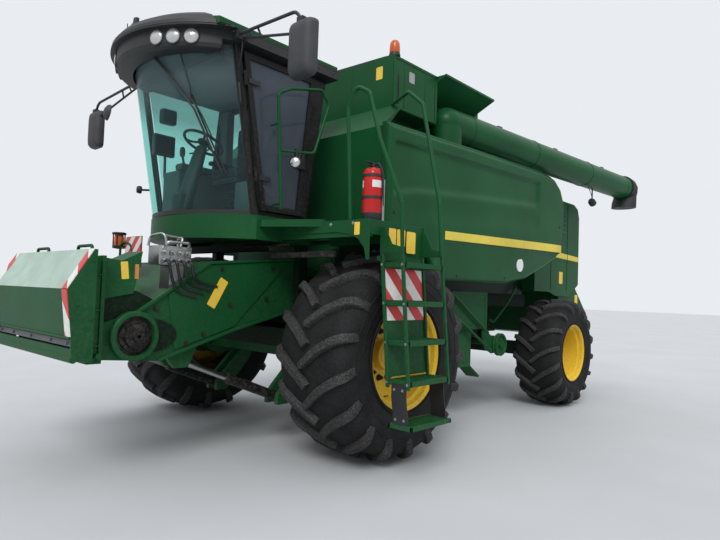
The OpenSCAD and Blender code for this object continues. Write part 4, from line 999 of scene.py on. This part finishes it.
# ---- door and pillar fittings
tube([(800, -1140, 3150), (838, -1185, 3150), (838, -1155, 2980), (800, -1108, 2980)], 10, 10)
tube([(900, -1210, 3490), (900, -1210, 3420), (860, -1190, 3340), (802, -1165, 3280)], 6, 8, 5)
done("pillar_handle_and_cable", "plastic", sharp=40)
tube([(824, -880, 2340), (870, -870, 2260), (900, -830, 2230), (918, -790, 2300), (930, -775, 2420),
      (934, -700, 2520), (934, -660, 2565)], 5, 8, 5)
done("rail_lamp_cable", "plastic", "cab_door", 40)
RAIL_LAMP, RAIL_LAMP_AXIS = (930, -618, 2575), (0.60, -0.80, 0)
turned([(0.5, -12), (45, -12), (54, 0), (54, 12), (48, 16), (0.5, 16)], RAIL_LAMP, 36, RAIL_LAMP_AXIS)
box((918, -625, 2600), (944, -600, 2695))
done("rail_lamp_case", "plastic", "cab_door", 40)
turned([(0.5, 14), (44, 14), (40, 20), (22, 25), (0.5, 27)], RAIL_LAMP, 36, RAIL_LAMP_AXIS)
done("rail_lamp_lens", "lamp", "cab_door", 40)
rounded_box((822, -505, 2550), (852, -425, 2720), 12)
tube([(852, -485, 2600), (872, -480, 2600), (872, -480, 2680), (852, -475, 2680)], 7, 8)
for y, z in ((-930, 2400), (-930 - 148.56, 3200)):
    box((825.5, y, z - 20), (834.5, y + 120, z + 20))
done("door_lock", "plastic", "cab_door")
turned([(0.5, 0), (34, 2), (38, 20), (30, 45), (0.5, 50)], (-500, -1315, 2360), 28, (-0.3, -0.95, 0))
tube([(-500, -1240, 2370), (-500, -1320, 2360)], 10, 8)
done("belt_side_lamp", "plastic", sharp=40)
box((700, -668, 1725), (1500, -630, 1775))
tube([(300, -660, 1845), (660, -680, 1835), (950, -670, 1845)], 14, 10)
done("under_cab_bar", "black", bevel=3)
# the sheets under the cab take the shaded green: painted shade
box((-800, -640, 1797), (620, -628, 1872))
box((-800, -640, 1797), (620, -600, 1803))
for sx in (1, -1):
    prism([(sx * 800, 1500), (sx * 980, 1500), (sx * 980, 1832), (sx * 1335, 1850), (sx * 1335, 1965),
           (sx * 800, 1965)], 1, 102, 110)
done("under_cab_sheets", "green_painted_shade")

# ---- grain tank, lids, auger
for z in (3285, 3020, 2750):
    box((-935, 366.5, z - 6), (935, 371.5, z + 6))
box((945, 366.5, 3292), (1195, 371.5, 3304))
for x in (620, -632):
    box((x, 366.5, 2440), (x + 12, 371.5, 3800))
for y in (550, 900):
    box((1199, y, 3310), (1203.5, y + 12, 3800))
for y0, z0, y1, z1 in ((390, 3790, 1110, 3815), (390, 3295, 1110, 3312), (375, 3300, 405, 3810),
                       (1085, 3300, 1118, 3810)):
    box((1199, y0, z0), (1206, y1, z1))
box((944, 372, 3812), (956, 2390, 3826))
for y in range(550, 2300, 240):
    box((-1205.5, y, 3300), (-1199, y + 20, 3800))
for z in (3600, 3250):
    box((-930, 2397, z), (930, 2404.5, z + 30))
done("tank_ribs", "green", sharp=30, bevel=1.5)
box((945, 1121, 3600), (955, 2148, 3622))
prism([(1306, 3803), (1318, 3800), (1318, 3826), (1300, 3826)], 1, 1119, 2149)
done("tank_flare_lip", "green", sharp=30, bevel=2)
for side, sx in SIDES:
    box((sx * 976, 512, 3826), (sx * 984.5, 2338, 3902))
    for y in (503, 2338):
        prism([(sx * 10, 3925), (sx * 975, 3898), (sx * 975, 3862), (sx * 10, 3902)], 1, y, y + 9)
    done(f"lid_edges_{side}", "hose", f"lid_{side}")
    for y in range(620, 2300, 265):
        loft([[(sx * x, y + dy, z + dz) for dy, dz in ((-16, -4), (-9, 7), (9, 7), (16, -4))]
              for x, z in ((30, 3930.5), (900, 3904.5), (965, 3902))])
    for y in (800, 2050):
        box((sx * 930, y, 3895), (sx * 985, y + 70, 3915))
    done(f"lid_ribs_{side}", "green", f"lid_{side}")
labels("tank_labels", "sticker", [((1020, 368.5, 3665), (1, 0, 0), UP, 85, 130)])
labels("tank_plate", "plate", [((1201.5, 670, 3665), (0, 1, 0), UP, 90, 110)])

AUGER_AT, TURN = vec(1140, 1400, 3370), radians(4.5)
ALONG, ACROSS = vec(sin(TURN), cos(TURN), 0), vec(cos(TURN), -sin(TURN), 0)
for d in (340, 1750, 3300, 4600):
    turned([(184.5, -16), (189.5, -14), (189.5, -3), (186.5, 0), (189.5, 3), (189.5, 14), (184.5, 16)],
           AUGER_AT + ALONG * d, 64, ALONG)
for p in (AUGER_AT + ALONG * d + UP * 184 for d in (1050, 2450, 3950)):
    loft([[p + ACROSS * s * 20 + ALONG * u + UP * h for s, u in ((-1, -w), (1, -w), (1, w), (-1, w))]
          for h, w in ((-8, 60), (30, 45))])
for t in turns(12):
    for d in (1750, 3300):
        p = AUGER_AT + ALONG * d + (ACROSS * cos(t) + UP * sin(t)) * 187
        disc(p - ALONG * 22, p + ALONG * 22, 4, 6)
done("auger_bands", "green", "auger")
rings = []
for d, fall, tilt in ((-45, 0, 0), (20, 0, 0), (75, 4, 14), (115, 30, 38), (110, 85, 62), (75, 150, 78),
                      (45, 240, 86), (30, 335, 90)):
    u = ALONG * sin(radians(tilt)) + UP * cos(radians(tilt))
    wide = 197 if d < 50 else 197 - 14 * sin(0.009 * fall)
    deep = 197 if tilt < 30 else 197 - 35 * (tilt - 30) / 60 + 6 * cos(0.04 * fall)
    rings.append([AUGER_AT + ALONG * (4800 + d) - UP * fall + ACROSS * wide * cos(a) + u * deep * sin(a)
                  for a in turns(48)])
loft(rings)
turned([(192, -14), (203.5, -14), (203.5, 14), (192, 14)], AUGER_AT + ALONG * 4752, 48, ALONG)
AUGER_LAMP, AUGER_LAMP_AXIS = AUGER_AT + ALONG * 3650 - UP * 390, ALONG - UP * 0.55
turned([(0.5, -60), (36, -55), (55, -20), (55, 40), (46, 48), (0.5, 44)], AUGER_LAMP, 32, AUGER_LAMP_AXIS)
tube([(0, 0, 50), (0, 0, 210)], 10, 10, at=AUGER_LAMP)
tube([(10, -30, 60), (20, -100, 120), (0, -160, 208)], 5, 8, 5, AUGER_LAMP)
done("auger_boot", "boot", "auger", 50, replaces=("auger_spout",))
turned([(0.5, 42), (46, 46), (42, 52), (0.5, 58)], AUGER_LAMP, 32, AUGER_LAMP_AXIS)
done("auger_lamp_lens", "lamp", "auger", 40)

# ---- rear hood: stripe, seams, doors
for sx in (1, -1):
    a, b = sx * 1000, sx * 1003.5
    loft([[(a, y, z0), (b, y, z0), (b, y, z1), (a, y, z1)] for y, z0, z1 in ((4020, 2125, 2215), (5600, 2080, 2160))])
done("hood_stripes", "stripe", sharp=30)
for sx in (1, -1):
    for y0, z0, y1, z1 in ((4550, 1600, 4564, 2990), (5150, 1600, 5164, 2990), (4020, 2052, 5600, 2064),
                           (4020, 2400, 5160, 2412)):
        box((sx * 999, y0, z0), (sx * 1006, y1, z1))
    for z in range(2500, 2900, 70):
        prism([(sx * 999, z), (sx * 1012, z), (sx * 1004, z + 38), (sx * 999, z + 42)], 1, 4640, 5080)
for y in (5400, 4500):
    box((-930, y, 3016), (930, y + 12, 3024))
for z in (2300, 1800):
    box((-700, 5615, z), (700, 5626, z + 12))
for x in (-700, 690):
    box((x, 5615, 1800), (x + 12, 5626, 2312))
done("hood_seams", "green", sharp=30, bevel=1)
labels("rear_labels", "sticker", [((sx * x, y, z), (0, sx, 0), UP, w, h) for x, y, z, w, h in (
    (1001.2, 4920, 1790, 130, 190), (971.2, 5620, 1450, 110, 160)) for sx in (1, -1)])

# ---- below the side shields
tube([(1160, 1570, 1490), (1160, 2420, 1000)], 17)
tube([(1160, 1620, 1240), (1160, 2500, 780)], 17)
for sx in (1, -1):
    tube(flip(sx, [(860, 3700, 1600), (855, 3460, 1360), (830, 3120, 1100), (790, 3090, 1140)]), 18)
for y0, z0, y1, z1 in ((1600, 1100, 2400, 1115), (1600, 1440, 2400, 1455), (1600, 1100, 1612, 1455),
                       (2390, 1100, 2402, 1455)):
    box((1115, y0, z0), (1124, y1, z1))
box((1070, 1780, 660), (1085, 2080, 1000))
box((840, 2100, 605), (1070, 2160, 640))
prism([(2120, 610), (2140, 615), (2370, 470), (2350, 450)], 0, 900, 1080)
prism([(2400, 1060), (2360, 1000), (2440, 800), (2620, 730), (2800, 740), (2850, 860), (2780, 940), (2600, 960)],
      0, 1085, 1100)
done("side_box_frame", "green", bevel=2)
turned([(0.5, 0), (142, 0), (146, 6), (128, 22), (128, 30), (146, 46), (142, 52), (118, 50), (112, 30), (45, 28),
        (43, 60), (0.5, 62)], (1104, 2770, 840), 48)
disc((620, 2770, 840), (1105, 2770, 840), 22, 20)
done("tensioner_pulley", "green_low", sharp=30)

# ---- rear lamps, grilles, dust screen, exhaust, vanes
for x in (860, -860):
    rounded_box((x - 85, 5605, 1760), (x + 85, 5660, 2040), 14)
box((-260, 5612, 1840), (260, 5628, 1960))
done("rear_lamp_cases", "plastic")
for name, look, z0, z1 in (("red", "red", 1850, 1948), ("amber", "amber", 1955, 2025), ("white", "lamp", 1775, 1842)):
    for x in (860, -860):
        rounded_box((x - 72, 5650, z0), (x + 72, 5668, z1), 7)
        if name == "red":
            disc((x, 5610, 2160), (x, 5632, 2160), 40)
    done(f"rear_lamp_{name}", look)
labels("rear_blank_plate", "label", [((0, 5630, 1900), (-1, 0, 0), UP, 480, 100)])
for x in (-550, 450):
    for y in (2620 + k * 75 for k in range(15)):
        prism([(y, 3117), (y + 50, 3140), (y + 56, 3134), (y + 10, 3117)], 0, x - 380, x + 380)
    for y in (2585, 3775):
        box((x - 400, y, 3117), (x + 400, y + 20, 3146))
    for edge in (-400, 380):
        box((x + edge, 2585, 3117), (x + edge + 20, 3795, 3146))
done("deck_grilles", "green", sharp=30, bevel=1)
DUST_SCREEN = vec(-1149, 3200, 2800)
turned([(300, 0), (300, 45), (288, 55), (276, 45), (274, 30), (60, 26), (55, 52), (0.5, 54), (0.5, 0)],
       DUST_SCREEN, 64, sign=-1)
for y, z in ((cos(t), sin(t)) for t in turns(24)):
    tube([(-36, 50 * y, 50 * z), (-40, 278 * y, 278 * z)], 4, 6, at=DUST_SCREEN)
for r in (120, 170, 220, 260):
    turned([(r, 30), (r, 38), (r + 6, 38), (r + 6, 30)], DUST_SCREEN, 64, sign=-1)
tube([(-58, 0, -260), (-62, 0, 0), (-58, 0, 270)], 14, at=DUST_SCREEN)
done("dust_screen", "plastic")
tube([(-980, 3860, 3080), (-980, 3860, 3300), (-980, 3950, 3400)], 55, 32, 6)
turned([(56, 3118), (85, 3118), (85, 3126), (64, 3150), (56, 3150)], (-980, 3860, 0), 40, 2)
done("exhaust", "iron")
for x in range(-800, 801, 160):
    foot = x * 1.1
    loft([[(x, 5520, 1585), (x + 6, 5520, 1585), (x + 6, 5560, 1440), (x, 5560, 1440)],
          [(foot, 6060, 1150), (foot + 6, 6060, 1150), (foot + 6, 5980, 1085), (foot, 5980, 1085)]])
done("chopper_vanes", "green_low", sharp=30)
for x in (-200, 200):
    tube([(x, 5620, 2520), (x, 5680, 2520), (x, 5680, 2660), (x, 5620, 2660)], 10, 10)
for x in (-620, 620):
    tube([(x, 5614, 1700), (x, 5900, 1500), (x, 6100, 1260)], 12, 10, 1)
done("hood_handles_and_stays", "plastic")


# ---- belt drives behind the side shields
def belt(x, a, b):
    """An endless belt round two pulleys, each given as (y, z, radius)."""
    (y0, z0, r0), (y1, z1, r1) = a, b
    heading = atan2(z1 - z0, y1 - y0)
    spread = acos((r0 - r1) / hypot(y1 - y0, z1 - z0))
    path = [(y0, z0, r0, heading + spread + (tau - 2 * spread) * k / 16) for k in range(17)]
    path += [(y1, z1, r1, heading - spread + 2 * spread * k / 16) for k in range(17)]
    loft([[(x + dx, y + (r + d) * cos(t), z + (r + d) * sin(t))
           for dx, d in ((-22.5, 0), (22.5, 0), (22.5, 13), (-22.5, 13))] for y, z, r, t in path], True)


def sheave(sx, x, y, z, r):
    """A pulley: flanges, groove, sunk web and hub."""
    turned([(20, 0), (r - 4, 0), (r + 14, 2), (r + 14, 7), (r - 4, 12), (r - 4, 48), (r + 14, 53), (r + 14, 58),
            (r - 30, 60), (r - 40, 27), (75, 24), (70, 72), (20, 74)], (sx * x, y, z), 48, sign=sx)


DRIVES = (((620, 1930, 150), (1480, 1980, 330), 860), ((1480, 1980, 170), (2450, 2120, 200), 960),
          ((2450, 2120, 130), (3300, 2060, 250), 860), ((3300, 2060, 130), (3700, 2200, 100), 960),
          ((1480, 1980, 120), (2020, 1820, 110), 1060))
for side, sx in SIDES:
    for a, b, x in DRIVES:
        sheave(sx, x, *a)
        sheave(sx, x, *b)
    done(f"drive_pulleys_{side}", "iron", sharp=30)
    for a, b, x in DRIVES:
        belt(sx * (x + 30), a, b)
    done(f"drive_belts_{side}", "hose", sharp=40)
    for y, z, reach in ((620, 1930, 940), (1480, 1980, 1160), (2450, 2120, 1060), (3300, 2060, 1060),
                        (3700, 2200, 1060), (2020, 1820, 1160)):
        disc((sx * 790, y, z), (sx * reach, y, z), 22, 20)
        disc((sx * 795, y, z), (sx * 835, y, z), 85, 32, 70)
    done(f"drive_shafts_{side}", "steel", sharp=30)

# ---- camera, floor, light
# the camera was fitted to the photo: 720 px wide, focal length 569.95 px
cam_data = bpy.data.cameras.new("camera")
cam_data.sensor_width = 36
cam_data.lens = 569.95 / 720 * cam_data.sensor_width
cam_data.clip_end = 300
cam = bpy.data.objects.new("camera", cam_data)
azimuth, rise, roll = (radians(v) for v in (42.522, 2.280, 1.992))
ahead = vec(-sin(azimuth) * cos(rise), cos(azimuth) * cos(rise), sin(rise))
right = vec(cos(azimuth), sin(azimuth), 0)
up = right.cross(ahead)
right, up = cos(roll) * right + sin(roll) * up, cos(roll) * up - sin(roll) * right
cam.matrix_world = Matrix.Translation((4.763, -3.902, 1.444)) @ Matrix((right, up, -ahead)).transposed().to_4x4()
scene.collection.objects.link(cam)
scene.camera = cam

FLOOR_HALF = 90
floor_mesh = bpy.data.meshes.new("floor")
floor_mesh.from_pydata([(x * FLOOR_HALF, y * FLOOR_HALF, 0) for x, y in ((-1, -1), (1, -1), (1, 1), (-1, 1))], [],
                       [(0, 1, 2, 3)])
floor = bpy.data.objects.new("floor", floor_mesh)
floor_mat, tree, shader = new_material("pale_floor")
concrete = mix(tree, ramp(tree, noise(tree, 0.6, 3), 0.3, 0.7), (0.50, 0.51, 0.52), (0.54, 0.55, 0.56))
feed(tree, shader, {"Base Color": concrete, "Roughness": 0.85})
floor_mesh.materials.append(floor_mat)
scene.collection.objects.link(floor)

# an overcast sky, brighter overhead, behind which the camera sees one plain tone
world = bpy.data.worlds.new("sky")
scene.world = world
world.use_nodes = True
tree = world.node_tree
height = node(tree, "SeparateXYZ", {0: node(tree, "TexCoord", {}).outputs["Generated"]}).outputs["Z"]
overcast = node(tree, "MapRange", {"From Min": 0.0, "From Max": 1.0, "To Min": 0.42, "To Max": 1.30, "Value": height})
sky = tree.nodes["Background"]
feed(tree, sky, {"Color": (0.93, 0.96, 1.0, 1), "Strength": overcast.outputs[0]})
seen = node(tree, "Background", {"Color": (0.86, 0.89, 0.93, 1), "Strength": 0.95})
camera_ray = node(tree, "LightPath", {}).outputs["Is Camera Ray"]
blend = node(tree, "MixShader", {"Fac": camera_ray, 1: sky.outputs[0], 2: seen.outputs[0]})
feed(tree, tree.nodes["World Output"], {"Surface": blend.outputs[0]})

sun_data = bpy.data.lights.new("sun", "SUN")
sun_data.energy = 1.5
sun_data.angle = radians(25)
sun = bpy.data.objects.new("sun", sun_data)
sun.rotation_euler = (radians(48), 0, radians(35))
scene.collection.objects.link(sun)

scene.view_settings.view_transform = "Standard"
